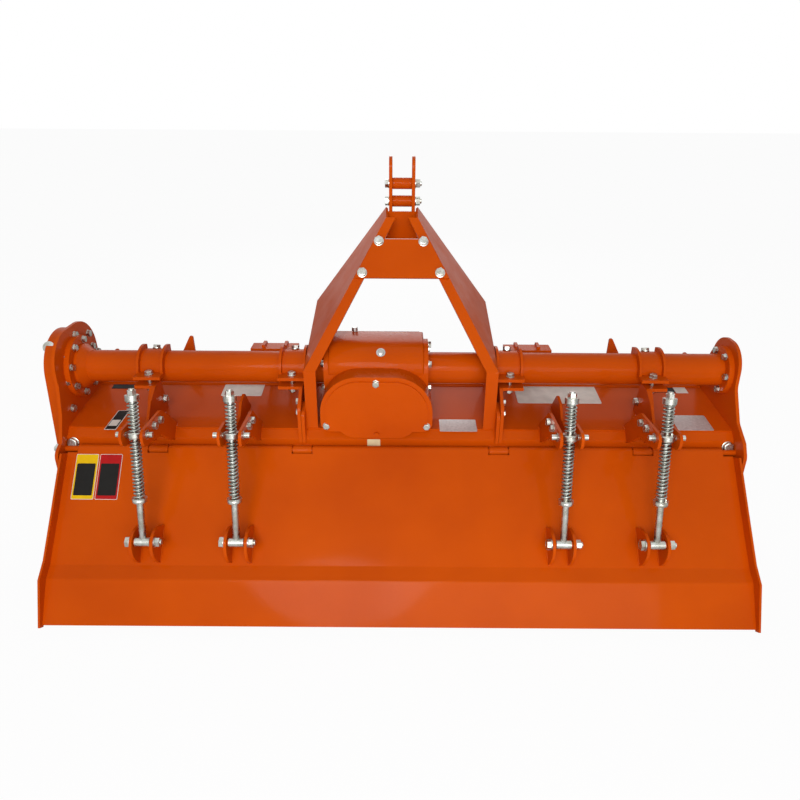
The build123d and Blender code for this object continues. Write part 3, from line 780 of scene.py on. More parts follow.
@dataclass
class SpringRods:
    """The coil springs on the four rods, below and above each trunnion.

    Args:
        wire: radius of the spring wire.
        outer: outer radius of the coils.
        foot: height of the lower spring's seat over the board's pin.
        seat_gap: height of a spring's seat from the trunnion's middle.
        lower_turns: turns of a lower spring.
        upper_turns: turns of an upper spring.
        wire_sides: faces round the wire.
        steps: faces along each turn.
        spin: turn of each rod's springs from the last rod's, in degrees.
        stroke: how much the lower spring shortens at the board's highest place; not used.
        sink: how far the top washer can come down over the upper spring.
    """

    wire: float = 0.0028
    outer: float = 0.0158
    foot: float = 0.1333
    seat_gap: float = 0.0093
    lower_turns: int = 16
    upper_turns: int = 8
    wire_sides: int = 10
    steps: int = 22
    spin: float = 40.0
    stroke: float = 0.0825
    sink: float = 0.0084

    def coil(self, height: float, turns: int) -> bpy.types.Object:
        """Model one coil spring that stands on the origin.

        Args:
            height: its height in metres.
            turns: its number of turns.

        Returns:
            The coil.
        """
        deselect()
        bpy.ops.mesh.primitive_circle_add(
            vertices=self.wire_sides, radius=self.wire, rotation=(math.pi / 2, 0, 0)
        )
        coil = bpy.context.active_object
        coil.location = (self.outer - self.wire, 0, self.wire)
        bake_place(coil)
        screw = coil.modifiers.new("turns", "SCREW")
        screw.axis = "Z"
        screw.angle = math.tau
        screw.iterations = turns
        screw.screw_offset = (height - 2 * self.wire) / turns
        screw.steps = self.steps
        screw.render_steps = self.steps
        screw.use_merge_vertices = False
        apply_modifiers(coil)
        with editing(coil):
            bpy.ops.mesh.select_all(action="SELECT")
            bpy.ops.mesh.remove_doubles(threshold=0.00005)
            bpy.ops.mesh.select_all(action="DESELECT")
            bpy.ops.mesh.select_mode(type="EDGE")
            bpy.ops.mesh.select_non_manifold()
            bpy.ops.mesh.fill_holes(sides=0)
            bpy.ops.mesh.select_all(action="SELECT")
            bpy.ops.mesh.normals_make_consistent(inside=False)
        return coil

    def build(self) -> None:
        """Model the springs and set them on their rods."""
        for n in range(1, 5):
            pin = Vector(JOINTS[f"rod_swing_{n}"]["pos_m"])
            ring = Vector(JOINTS[f"trunnion_swing_{n}"]["pos_m"])
            along = (ring - pin).normalized()
            span = (ring - pin).length
            lower = span - self.seat_gap - self.foot
            upper = WASHER_PAST - self.seat_gap - self.sink
            places = (
                ("lower", self.foot, lower, self.lower_turns, f"spring_rod_{n}"),
                ("upper", span + self.seat_gap, upper, self.upper_turns, f"trunnion_{n}"),
            )
            for level, start, height, turns, body in places:
                seat = pin + along * start
                coil = self.coil(height, turns)
                coil.matrix_world = Matrix.Translation(seat) @ facing(along, self.spin * n)
                name = f"{level}_coil_{n}"
                piece = settle(coil, name, SPRING_ZINC, body, ROUND_ANGLE)
                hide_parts(f"{level}_spring_{n}")
                if level == "lower":
                    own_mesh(piece)


@dataclass
class Fastener:
    """One bolt head or nut with its washer.

    Args:
        place: its seat as (x, ahead, up).
        out: the direction it faces, in the frame's axes.
        size: nominal thread diameter in metres.
        kind: head, nut or washer.
    """

    place: tuple
    out: tuple
    size: float
    kind: Fixing = Fixing.HEAD

    def matrix(self, turn: float) -> Matrix:
        """Where the template goes, with a turn in degrees so that no two stand alike."""
        move = Matrix.Translation(at(*self.place))
        return move @ facing(Vector(self.out), turn) @ Matrix.Scale(self.size, 4)


def cylinder(radius: float, low: float, high: float, sides: int) -> bpy.types.Object:
    """A round or many-sided bar along +Z to model from.

    Args:
        radius: its radius, to the corners.
        low: height of its foot.
        high: height of its top.
        sides: number of sides.

    Returns:
        The new object.
    """
    deselect()
    bpy.ops.mesh.primitive_cylinder_add(
        vertices=sides, radius=radius, depth=high - low, location=(0, 0, (low + high) / 2)
    )
    item = bpy.context.active_object
    bake_place(item)
    return item


def crown(item: bpy.types.Object, up: float, inset: float, rise: float) -> None:
    """Chamfer the top face of a bar.

    Args:
        item: the bar.
        up: height of its top face.
        inset: how far the chamfer runs in.
        rise: how far the middle stands over the rim.
    """
    with editing(item):
        pick_faces(item, lambda middle, normal: normal.z > 0.9 and abs(middle.z - up) < 1e-4)
        bpy.ops.mesh.inset(thickness=inset, depth=rise)


@dataclass
class FastenerKit:
    """Bolt heads and nuts for a thread of diameter one, copied wherever they stand.

    Args:
        across: radius of the hexagon's corners.
        head_height: height of a head.
        nut_height: height of a nut.
        chamfer: how far the hexagon's chamfer runs in, and how much the middle rises.
        dish: how far in and how deep the dish in a head is.
        stud_radius: radius of the thread that stands out of a nut.
        stud_past: how far it stands out.
        stud_chamfer: its chamfer, in and up.
        washer_radius: radius of a washer.
        washer_thickness: its thickness.
        washer_chamfer: its chamfer, in and up.
        lap: share of a part's height that is sunk into the part below.
        spin: turn of each copy from the last one, in degrees.
    """

    across: float = 0.866
    head_height: float = 0.62
    nut_height: float = 0.80
    chamfer: tuple = (0.12, 0.05)
    dish: tuple = (0.16, -0.03)
    stud_radius: float = 0.5
    stud_past: float = 0.30
    stud_chamfer: tuple = (0.1, 0.07)
    washer_radius: float = 0.94
    washer_thickness: float = 0.17
    washer_chamfer: tuple = (0.06, 0.03)
    lap: float = 0.6
    spin: float = 17.0

    def washer(self) -> bpy.types.Object:
        """Model a flat washer with a softened rim.

        Returns:
            The washer, standing on the origin.
        """
        washer = cylinder(self.washer_radius, 0.0, self.washer_thickness, 20)
        crown(washer, self.washer_thickness, *self.washer_chamfer)
        return washer

    def template(self, kind: Fixing) -> bpy.types.Object:
        """Model one fastener.

        Args:
            kind: head, nut or washer.

        Returns:
            The template, standing on the origin.
        """
        if kind is Fixing.WASHER:
            return self.washer()
        height = self.head_height if kind is Fixing.HEAD else self.nut_height
        top = self.washer_thickness + height
        hexagon = cylinder(self.across, self.washer_thickness * self.lap, top, 6)
        crown(hexagon, top, *self.chamfer)
        if kind is Fixing.HEAD:
            inset, depth = self.dish
            with editing(hexagon):
                pick_faces(hexagon, lambda middle, normal: normal.z > 0.9 and middle.z > top)
                bpy.ops.mesh.inset(thickness=inset, depth=depth)
            return join([hexagon, self.washer()])
        stud = cylinder(self.stud_radius, top * self.lap, top + self.stud_past, 12)
        crown(stud, top + self.stud_past, *self.stud_chamfer)
        return join([hexagon, self.washer(), stud])

    def fit(self, name: str, body: str, fasteners: list[Fastener], finish: Finish) -> None:
        """Copy the templates to their places and join them to one piece.

        Args:
            name: the piece's name.
            body: the body that carries it.
            fasteners: where each one stands.
            finish: their finish.
        """
        groups = []
        for kind in Fixing:
            chosen = [item for item in fasteners if item.kind is kind]
            if not chosen:
                continue
            template = self.template(kind)
            turns = [item.matrix(self.spin * n) for n, item in enumerate(chosen)]
            groups.append(copies(template, turns, name))
            discard(template)
        settle(join(groups), name, finish, body)


def ring(
    x: float, centre: tuple, radius: float, count: int, side: float, size: float, start: float
) -> list[Fastener]:
    """Fasteners in a circle on a plane across the machine.

    Args:
        x: the plane they stand on.
        centre: the circle's middle as (ahead, up).
        radius: the circle's radius.
        count: how many.
        side: +1 or -1, the way they face.
        size: thread diameter.
        start: angle of the first one in degrees.

    Returns:
        The fasteners.
    """
    made = []
    for n in range(count):
        turn = math.radians(start + n * 360 / count)
        spot = (x, centre[0] + radius * math.cos(turn), centre[1] + radius * math.sin(turn))
        made.append(Fastener(spot, (side, 0, 0), size))
    return made


@dataclass
class FrameBolts:
    """The bolts and nuts on everything that doesn't move.

    Args:
        kit: models and copies the fasteners.
        tube_rings: x, radius, count, way and first angle of each circle round the main tube.
        case_inset: how far the gear case's bolts stand in from its rim.
        case_angles: where they stand on its upper round end, in degrees.
        case_share: how far down the flanks the last pair stands.
        cross_plate: places on the plate between the mast's arms.
        cross_slope: how far that plate runs forward and up.
        cross_lift: half the plate's thickness.
        clevis: x, ahead and heights of the clevis bolts.
        cover: x and height of the gearbox cover's bolts.
        cover_face: the cover's rear face.
        cap_ring: face, height, radius, count and first angle of the input cap's bolts.
        clamp_faces: heights of a clamp bolt's head and nut.
        clamp_crest: how far over the tube, and at what angle, the bolt over it stands.
        bracket: (ahead, up) of the bolts on a bracket's inboard plate.
        fin: (ahead, up) of the bolt on the outer brackets' fins.
        mast_feet: (ahead, up) of the bolts at the mast's feet.
        mast_face: outer face of the mast's feet, across the machine.
        hinge_gap: distance of the hinge rod's nuts from the side plates.
        beam_end: (x, ahead, up) of the bolts at the beam's ends.
        beam_out: the direction that they face.
        skid: (ahead, up) of the bolts of a skid.
        skid_in: how far inside the side plate's inner face they stand.
        hub_ring: distance from the side plate, radius, count and first angle at the hub.
        hitch: x of the nuts on a lower hitch bracket, and their (ahead, up).
    """

    kit: FastenerKit = field(default_factory=FastenerKit)
    tube_rings: tuple = (
        (-SIDE_X + 0.016, 0.084, 8, 1, 28),
        (SIDE_X - 0.016, 0.063, 6, -1, 0),
        (-0.237, 0.078, 6, -1, 30),
        (0.084, 0.078, 6, 1, 30),
    )
    case_inset: float = 0.012
    case_angles: tuple = (4, 50, 98, 146, 186)
    case_share: float = 0.28
    cross_plate: tuple = (
        (-0.070, 0.0362, 0.9944),
        (0.066, 0.0357, 0.9936),
        (-0.1195, -0.0184, 0.9102),
        (0.1165, -0.0175, 0.911),
    )
    cross_slope: tuple = (0.263, 0.406)
    cross_lift: float = 0.0085
    clevis: tuple = (0.041, 0.185, (1.096, 1.150))
    cover: tuple = ((-0.0744, 0.630), (-0.2255, 0.490), (0.0785, 0.490))
    cover_face: float = -0.211
    cap_ring: tuple = (0.140, 0.560, 0.064, 6, 30)
    clamp_faces: tuple = (0.618, 0.580)
    clamp_crest: tuple = (0.0063, 68)
    bracket: tuple = ((-0.300, 0.551), (-0.346, 0.556))
    fin: tuple = (-0.095, 0.523)
    mast_feet: tuple = ((-0.160, 0.548), (-0.168, 0.515))
    mast_face: float = 0.312
    hinge_gap: float = 0.001
    beam_end: tuple = (1.010, -0.2055, 0.424)
    beam_out: tuple = (0, -1, 0.2)
    skid: tuple = ((-0.070, 0.150), (0.070, 0.150), (0.0, 0.060))
    skid_in: float = 0.008
    hub_ring: tuple = (0.014, 0.080, 6, 15)
    hitch: tuple = ((0.350, 0.412, 0.475), (0.0055, 0.641))

    def tube_flanges(self) -> list[Fastener]:
        """Bolts on the flanges of the main tube.

        Returns:
            The fasteners.
        """
        made = []
        for x, radius, count, way, start in self.tube_rings:
            made += ring(x, TUBE, radius, count, way, PLATE_BOLT, start)
        return made

    def gear_case_rim(self) -> list[Fastener]:
        """Bolts round the side gear case that show on the plate's inner face.

        Returns:
            The fasteners.
        """
        top, low = CASE_TOP[2] - self.case_inset, CASE_FOOT[2] - self.case_inset
        spots = []
        for degrees in self.case_angles:
            turn = math.radians(degrees)
            spot = (CASE_TOP[0] + top * math.cos(turn), CASE_TOP[1] + top * math.sin(turn))
            spots.append(spot)
        wide = top + self.case_share * (low - top)
        middle = CASE_TOP[0] * (1 - self.case_share)
        up = CASE_TOP[1] + self.case_share * (CASE_FOOT[1] - CASE_TOP[1])
        spots += [(middle + wide, up), (middle - wide, up)]
        return [Fastener((-SIDE_X, *spot), (1, 0, 0), CASE_BOLT) for spot in spots]

    def mast(self) -> list[Fastener]:
        """Bolts of the cross plate and the clevis.

        Returns:
            The fasteners.
        """
        run, rise = self.cross_slope
        lean = math.atan2(rise, run)
        back = (0, -math.sin(lean), math.cos(lean))
        made = []
        for x, ahead, up in self.cross_plate:
            spot = (x, ahead + back[1] * self.cross_lift, up + back[2] * self.cross_lift)
            made.append(Fastener(spot, back, MAST_BOLT))
        side, ahead, heights = self.clevis
        for up in heights:
            made.append(Fastener((-side, ahead, up), (-1, 0, 0), MAST_BOLT))
            made.append(Fastener((side, ahead, up), (1, 0, 0), MAST_BOLT, Fixing.NUT))
        return made

    def gearbox(self) -> list[Fastener]:
        """Bolts of the gearbox cover and the input's bearing cap.

        Returns:
            The fasteners.
        """
        made = [Fastener((x, self.cover_face, up), (0, -1, 0), PLATE_BOLT) for x, up in self.cover]
        face, middle, radius, count, start = self.cap_ring
        for n in range(count):
            turn = math.radians(start + 360 / count * n)
            spot = (radius * math.cos(turn), face, middle + radius * math.sin(turn))
            made.append(Fastener(spot, (0, 1, 0), CAP_BOLT))
        return made

    def clamps(self) -> list[Fastener]:
        """Bolts that draw the tube clamps down, and the ones over the tube.

        Returns:
            The fasteners.
        """
        made = []
        over, degrees = self.clamp_crest
        lean = math.radians(degrees)
        band = TUBE_RADIUS + over
        crest = (TUBE[0] + band * math.cos(lean), TUBE[1] + band * math.sin(lean))
        head, nut = self.clamp_faces
        for x in CLAMPS:
            made.append(Fastener((x, CLAMP_BOLT_AHEAD, head), (0, 0, 1), CLAMP_BOLT))
            made.append(Fastener((x, CLAMP_BOLT_AHEAD, nut), (0, 0, -1), CLAMP_BOLT, Fixing.NUT))
            made.append(Fastener((x, *crest), (0, math.cos(lean), math.sin(lean)), CLAMP_BOLT))
        return made

    def brackets(self) -> list[Fastener]:
        """Bolts on the spring brackets' inboard plates, the fins and the mast's feet.

        Returns:
            The fasteners.
        """
        made = []
        for x in RODS:
            inboard = -1 if x > 0 else 1
            for spot in self.bracket:
                face = x + inboard * PLATE_OUTSIDE
                made.append(Fastener((face, *spot), (inboard, 0, 0), CASE_BOLT))
            if x in (RODS[0], RODS[-1]):
                face = x - inboard * PLATE_INSIDE
                made.append(Fastener((face, *self.fin), (inboard, 0, 0), CLAMP_BOLT))
        for side in Side:
            for spot in self.mast_feet:
                place = (side.value * self.mast_face, *spot)
                made.append(Fastener(place, (side.value, 0, 0), PLATE_BOLT))
        return made

    def ends(self) -> list[Fastener]:
        """Nuts on the hinge rod, and bolts of the beam's ends, the skids and the hub.

        Returns:
            The fasteners.
        """
        made = []
        for side in Side:
            way = side.value
            nut_face = way * (SIDE_FACE + self.hinge_gap)
            made.append(Fastener((nut_face, *HINGE), (way, 0, 0), HINGE_BOLT, Fixing.NUT))
            x, ahead, up = self.beam_end
            made.append(Fastener((way * x, ahead, up), self.beam_out, HINGE_BOLT))
            face = way * (SIDE_X - self.skid_in)
            for spot in self.skid:
                made.append(Fastener((face, *spot), (-way, 0, 0), PLATE_BOLT))
        past, radius, count, start = self.hub_ring
        made += ring(SIDE_FACE + past, (0, ROTOR_UP), radius, count, 1, PLATE_BOLT, start)
        return made

    def lower_hitch(self) -> list[Fastener]:
        """Nuts on the rear edge of the lower hitch brackets.

        Returns:
            The fasteners.
        """
        places, spot = self.hitch
        return [
            Fastener((side.value * x, *spot), (0, -1, 0), HITCH_BOLT)
            for side in Side
            for x in places
        ]

    def build(self) -> None:
        """Fit every group of fasteners."""
        groups = {
            "bolts_tube_flanges": self.tube_flanges(),
            "bolts_gear_case": self.gear_case_rim(),
            "bolts_mast": self.mast(),
            "bolts_gearbox": self.gearbox(),
            "bolts_clamps": self.clamps(),
            "bolts_brackets": self.brackets(),
            "bolts_ends": self.ends(),
            "bolts_hitch": self.lower_hitch(),
        }
        for name, fasteners in groups.items():
            self.kit.fit(name, "frame", fasteners, ZINC)


@dataclass
class RotorBolts:
    """Two bolts through the foot of each blade.

    Args:
        kit: models and copies the fasteners.
        pitch: distance between the blade flanges.
        flanges: how many flanges.
        blades: blades on each side of a flange.
        twist: turn of each flange from the last one, in degrees.
        radii: how far from the rotor's axis the bolts stand.
        face: how far from a flange's middle they stand.
    """

    kit: FastenerKit = field(default_factory=FastenerKit)
    pitch: float = 0.225
    flanges: int = 9
    blades: int = 3
    twist: float = 22.0
    radii: tuple = (0.066, 0.086)
    face: float = 0.013

    def build(self) -> None:
        """Set the heads on the blades."""
        made = []
        step = 360 / self.blades
        for n in range(self.flanges):
            x = (n - (self.flanges - 1) / 2) * self.pitch
            for way in (-1, 1):
                for k in range(self.blades):
                    turn = math.radians((0 if way > 0 else step / 2) + k * step + n * self.twist)
                    out = (math.cos(turn), math.sin(turn))
                    for radius in self.radii:
                        spot = (-out[1] * radius, ROTOR_UP + out[0] * radius)
                        place = (x + way * self.face, *spot)
                        made.append(Fastener(place, (way, 0, 0), PLATE_BOLT))
        self.kit.fit("bolts_blades", "rotor", made, STEEL)


@dataclass
class BoardPins:
    """Heads and nuts on the pins of the board's lugs, and washers at the trunnions' ends.

    Args:
        kit: models and copies the fasteners.
        past: how far from a rod's middle the heads and washers stand.
    """

    kit: FastenerKit = field(default_factory=FastenerKit)
    past: float = 0.0335

    def build(self) -> None:
        """Fit the fasteners of every rod."""
        made = []
        for n in range(1, 5):
            x, y, up = JOINTS[f"rod_swing_{n}"]["pos_m"]
            spot = (y - AXIS_Y, up)
            made.append(Fastener((x - self.past, *spot), (-1, 0, 0), PIN_HEAD))
            made.append(Fastener((x + PLATE_OUTSIDE, *spot), (1, 0, 0), MAST_BOLT, Fixing.NUT))
            x, y, up = JOINTS[f"trunnion_swing_{n}"]["pos_m"]
            spot = (y - AXIS_Y, up)
            washers = [
                Fastener((x + way * self.past, *spot), (way, 0, 0), CLAMP_BOLT, Fixing.WASHER)
                for way in (-1, 1)
            ]
            self.kit.fit(f"washers_trunnion_{n}", f"trunnion_{n}", washers, ZINC)
        self.kit.fit("bolts_board_lugs", "trailing_board", made, ZINC)


def turned(stages: tuple, place: Vector, out: Vector) -> bpy.types.Object:
    """Model a small turned part by drawing its rings out of one another.

    Args:
        stages: (radius, height) of every ring, from the foot up.
        place: where its foot stands.
        out: the direction that it points.

    Returns:
        The part in its place.
    """
    deselect()
    bpy.ops.mesh.primitive_circle_add(vertices=24, radius=stages[0][0], fill_type="NGON")
    part = bpy.context.active_object
    with editing(part):
        bpy.ops.mesh.select_all(action="SELECT")
        for (radius, height), (wider, higher) in zip(stages, stages[1:]):
            move = {"value": (0, 0, higher - height)}
            bpy.ops.mesh.extrude_region_move(TRANSFORM_OT_translate=move)
            share = wider / radius
            bpy.ops.transform.resize(value=(share, share, 1), center_override=(0, 0, higher))
        bpy.ops.mesh.select_all(action="SELECT")
        bpy.ops.mesh.normals_make_consistent(inside=False)
    part.matrix_world = Matrix.Translation(place) @ facing(out)
    bake_place(part)
    return part


@dataclass
class Crown:
    """The rough sloped casting on top of the gearbox, round the tube's flanges.

    Args:
        left: its left end.
        right: its right end.
        outline: corners of its section (ahead, up), from the foot behind and over the top.
        round: radius of its edges.
    """

    left: float = -0.2235
    right: float = 0.0705
    outline: tuple = (
        (-0.138, 0.624),
        (-0.138, 0.652),
        (-0.125, 0.674),
        (-0.096, 0.703),
        (-0.052, 0.7105),
        (0.030, 0.7105),
        (0.046, 0.696),
        (0.046, 0.640),
    )
    round: float = 0.006

    def build(self) -> None:
        """Draw the section corner by corner, draw it out into a bar and round its edges."""
        deselect()
        corners = len(self.outline)
        bpy.ops.mesh.primitive_circle_add(vertices=corners, radius=1.0, fill_type="NGON")
        bar = bpy.context.active_object
        with editing(bar):
            bpy.ops.mesh.select_mode(type="VERT")
            for index, (ahead, up) in enumerate(self.outline):
                bpy.ops.mesh.select_all(action="DESELECT")
                mesh = bmesh.from_edit_mesh(bar.data)
                mesh.verts.ensure_lookup_table()
                corner = mesh.verts[index]
                corner.select_set(True)
                mesh.select_flush_mode()
                shift = at(self.left, ahead, up) - corner.co
                bmesh.update_edit_mesh(bar.data)
                bpy.ops.transform.translate(value=shift)
            bpy.ops.mesh.select_all(action="SELECT")
            move = {"value": (self.right - self.left, 0, 0)}
            bpy.ops.mesh.extrude_region_move(TRANSFORM_OT_translate=move)
            bpy.ops.mesh.select_all(action="SELECT")
            bpy.ops.mesh.normals_make_consistent(inside=False)
        bevel(bar, self.round, 3)
        settle(bar, "gearbox_crown", CAST_PAINT, "frame")


@dataclass
class Turned:
    """A small turned part.

    Args:
        name: the piece's name.
        stages: (radius, height) of every ring, from the foot up.
        finish: what it is made of.
        body: the body that carries it.
        slot: the record's material slot, or an empty string; not used.
    """

    name: str
    stages: tuple
    finish: Finish = ZINC
    body: str = "frame"
    slot: str = "zinc_plate"

    def fit(self, place: Vector, out: Vector) -> None:
        """Model the part and set it in its place.

        Args:
            place: where its foot stands.
            out: the direction that it points.
        """
        part = turned(self.stages, place, out)
        settle(part, self.name, self.finish, self.body, TURNED_ANGLE)


@dataclass
class Trim:
    """Studs, plugs, the filler cap, the rods' rings and the hood's seam.

    Args:
        stud: radius of the clamp studs.
        stud_ends: heights between which a clamp stud runs.
        seam: radius of the seam along the hood's crest.
        seam_round: how far the seam's ends are set in.
        seam_short: how far it stops short of each side plate.
        seam_shift: its place from the hood's crest as (ahead, up).
        seam_angle: edges flatter than this, in degrees, are smooth on it.
        cap: rings of the filler cap on the side gear case.
        cap_spot: its foot as (x, ahead, up), and the direction that it points.
        vent: rings of the gearbox's breather.
        vent_spot: its foot and direction.
        drain: rings of the gearbox's drain plug.
        drain_spot: its foot and direction.
        level: rings of the gearbox's oil level plug.
        level_spot: its foot and direction.
        cup: rings of the cup under a rod's top washer, from the washer down and up inside.
        cup_gap: how far the cup starts over the washer's seat.
        sleeve: rings of the sleeve on the plain part of a rod.
        sleeve_up: its foot's height over the board's pin.
        collar: rings of the collar under a lower spring.
        collar_up: its foot's height over the board's pin.
        band: rings of the band round a trunnion.
        band_down: how far below the trunnion's middle it starts.
    """

    stud: float = 0.0065
    stud_ends: tuple = (0.576, 0.612)
    seam: float = 0.0065
    seam_round: float = 0.002
    seam_short: float = 0.001
    seam_shift: tuple = (-0.004, -0.001)
    seam_angle: float = 50.0
    cap: tuple = ((0.010, 0.0), (0.010, 0.006), (0.0175, 0.006), (0.0175, 0.013), (0.01505, 0.015))
    cap_spot: tuple = ((-1.0815, -0.088, 0.690), (0, -0.80, 0.60))
    vent: tuple = (
        (0.011, 0.0),
        (0.011, 0.012),
        (0.007, 0.012),
        (0.007, 0.020),
        (0.010, 0.020),
        (0.009, 0.031),
    )
    vent_spot: tuple = ((-0.150, 0.030, 0.693), (0, 0, 1))
    drain: tuple = ((0.012, 0.0), (0.012, 0.004), (0.008, 0.004), (0.0075, 0.011))
    drain_spot: tuple = ((-0.073, -0.206, 0.462), (0, -1, 0))
    level: tuple = ((0.014, 0.0), (0.014, 0.003), (0.009, 0.003), (0.009, 0.008), (0.007, 0.009))
    level_spot: tuple = ((-0.062, -0.1105, 0.6895), (0, -1, 1))
    cup: tuple = ((0.0188, 0.0), (0.0188, 0.0086), (0.0167, 0.0086), (0.0167, 0.0007))
    cup_gap: float = 0.0002
    sleeve: tuple = ((0.0088, 0.0), (0.0098, 0.002), (0.0098, 0.1065))
    sleeve_up: float = 0.012
    collar: tuple = (
        (0.0135, 0.0),
        (0.0185, 0.0),
        (0.0200, 0.0025),
        (0.0200, 0.0085),
        (0.0185, 0.0104),
    )
    collar_up: float = 0.1185
    band: tuple = ((0.0206, 0.0), (0.0226, 0.0022), (0.0226, 0.0134), (0.0206, 0.0156))
    band_down: float = 0.0078

    def clamp_studs(self) -> None:
        """The threaded shanks between each clamp's foot and its tab."""
        template = cylinder(self.stud, *self.stud_ends, 16)
        places = [Matrix.Translation(at(x, CLAMP_BOLT_AHEAD, 0)) for x in CLAMPS]
        studs = copies(template, places, "clamp_studs")
        discard(template)
        settle(studs, "clamp_studs", ZINC, "frame")

    def plugs(self) -> None:
        """The gear case's filler cap, and the gearbox's breather, drain and level plug."""
        for part, (place, out) in (
            (Turned("filler_cap", self.cap), self.cap_spot),
            (Turned("gearbox_breather", self.vent, STEEL, slot=""), self.vent_spot),
            (Turned("gearbox_drain", self.drain, CAST_PAINT, slot=""), self.drain_spot),
            (Turned("gearbox_level_plug", self.level, STEEL, slot=""), self.level_spot),
        ):
            part.fit(at(*place), Vector(out))

    def rod_rings(self) -> None:
        """The cup, the sleeve and the collar on each rod and the band round its trunnion."""
        for n in range(1, 5):
            pin = Vector(JOINTS[f"rod_swing_{n}"]["pos_m"])
            middle = Vector(JOINTS[f"trunnion_swing_{n}"]["pos_m"])
            along = (middle - pin).normalized()
            rod, trunnion = f"spring_rod_{n}", f"trunnion_{n}"
            washer = middle + along * (WASHER_PAST + self.cup_gap)
            Turned(f"rod_cup_{n}", self.cup, body=rod).fit(washer, -along)
            foot = pin + along * self.sleeve_up
            Turned(f"rod_sleeve_{n}", self.sleeve, body=rod).fit(foot, along)
            foot = pin + along * self.collar_up
            Turned(f"rod_collar_{n}", self.collar, body=rod).fit(foot, along)
            foot = middle - along * self.band_down
            Turned(f"trunnion_band_{n}", self.band, body=trunnion).fit(foot, along)

    def crest_seam(self) -> None:
        """The rounded seam along the hood's crest that closes the view under the tube."""
        reach = SIDE_X - self.seam_short
        seam = cylinder(self.seam, -reach, reach, 16)
        with editing(seam):
            pick_faces(seam, lambda middle, normal: abs(normal.z) > 0.9)
            bpy.ops.mesh.inset(thickness=self.seam_round, depth=0.0)
        ahead, up = (edge + shift for edge, shift in zip(HOOD_CREST, self.seam_shift))
        seam.matrix_world = Matrix.Translation(at(0, ahead, up)) @ facing(Vector((1, 0, 0)))
        settle(seam, "hood_crest_seam", PAINT, "frame", self.seam_angle)

    def build(self) -> None:
        """Fit every small part."""
        self.clamp_studs()
        self.plugs()
        self.rod_rings()
        self.crest_seam()


@dataclass
class Bead:
    """One weld bead.

    Args:
        start: one end as (x, ahead, up).
        end: the other end.
        out: the direction that the bead bulges to.
        width: its half width in metres.
    """

    start: tuple
    end: tuple
    out: tuple
    width: float = 0.0042

    def matrix(self) -> Matrix:
        """The bead's own along, across and outward directions.

        Returns:
            The directions and the bead's start as a matrix.
        """
        along = (Vector(self.end) - Vector(self.start)).normalized()
        out = Vector(self.out)
        out = (out - along * out.dot(along)).normalized()
        turn = Matrix((along, out.cross(along), out)).transposed().to_4x4()
        return Matrix.Translation(at(*self.start)) @ turn


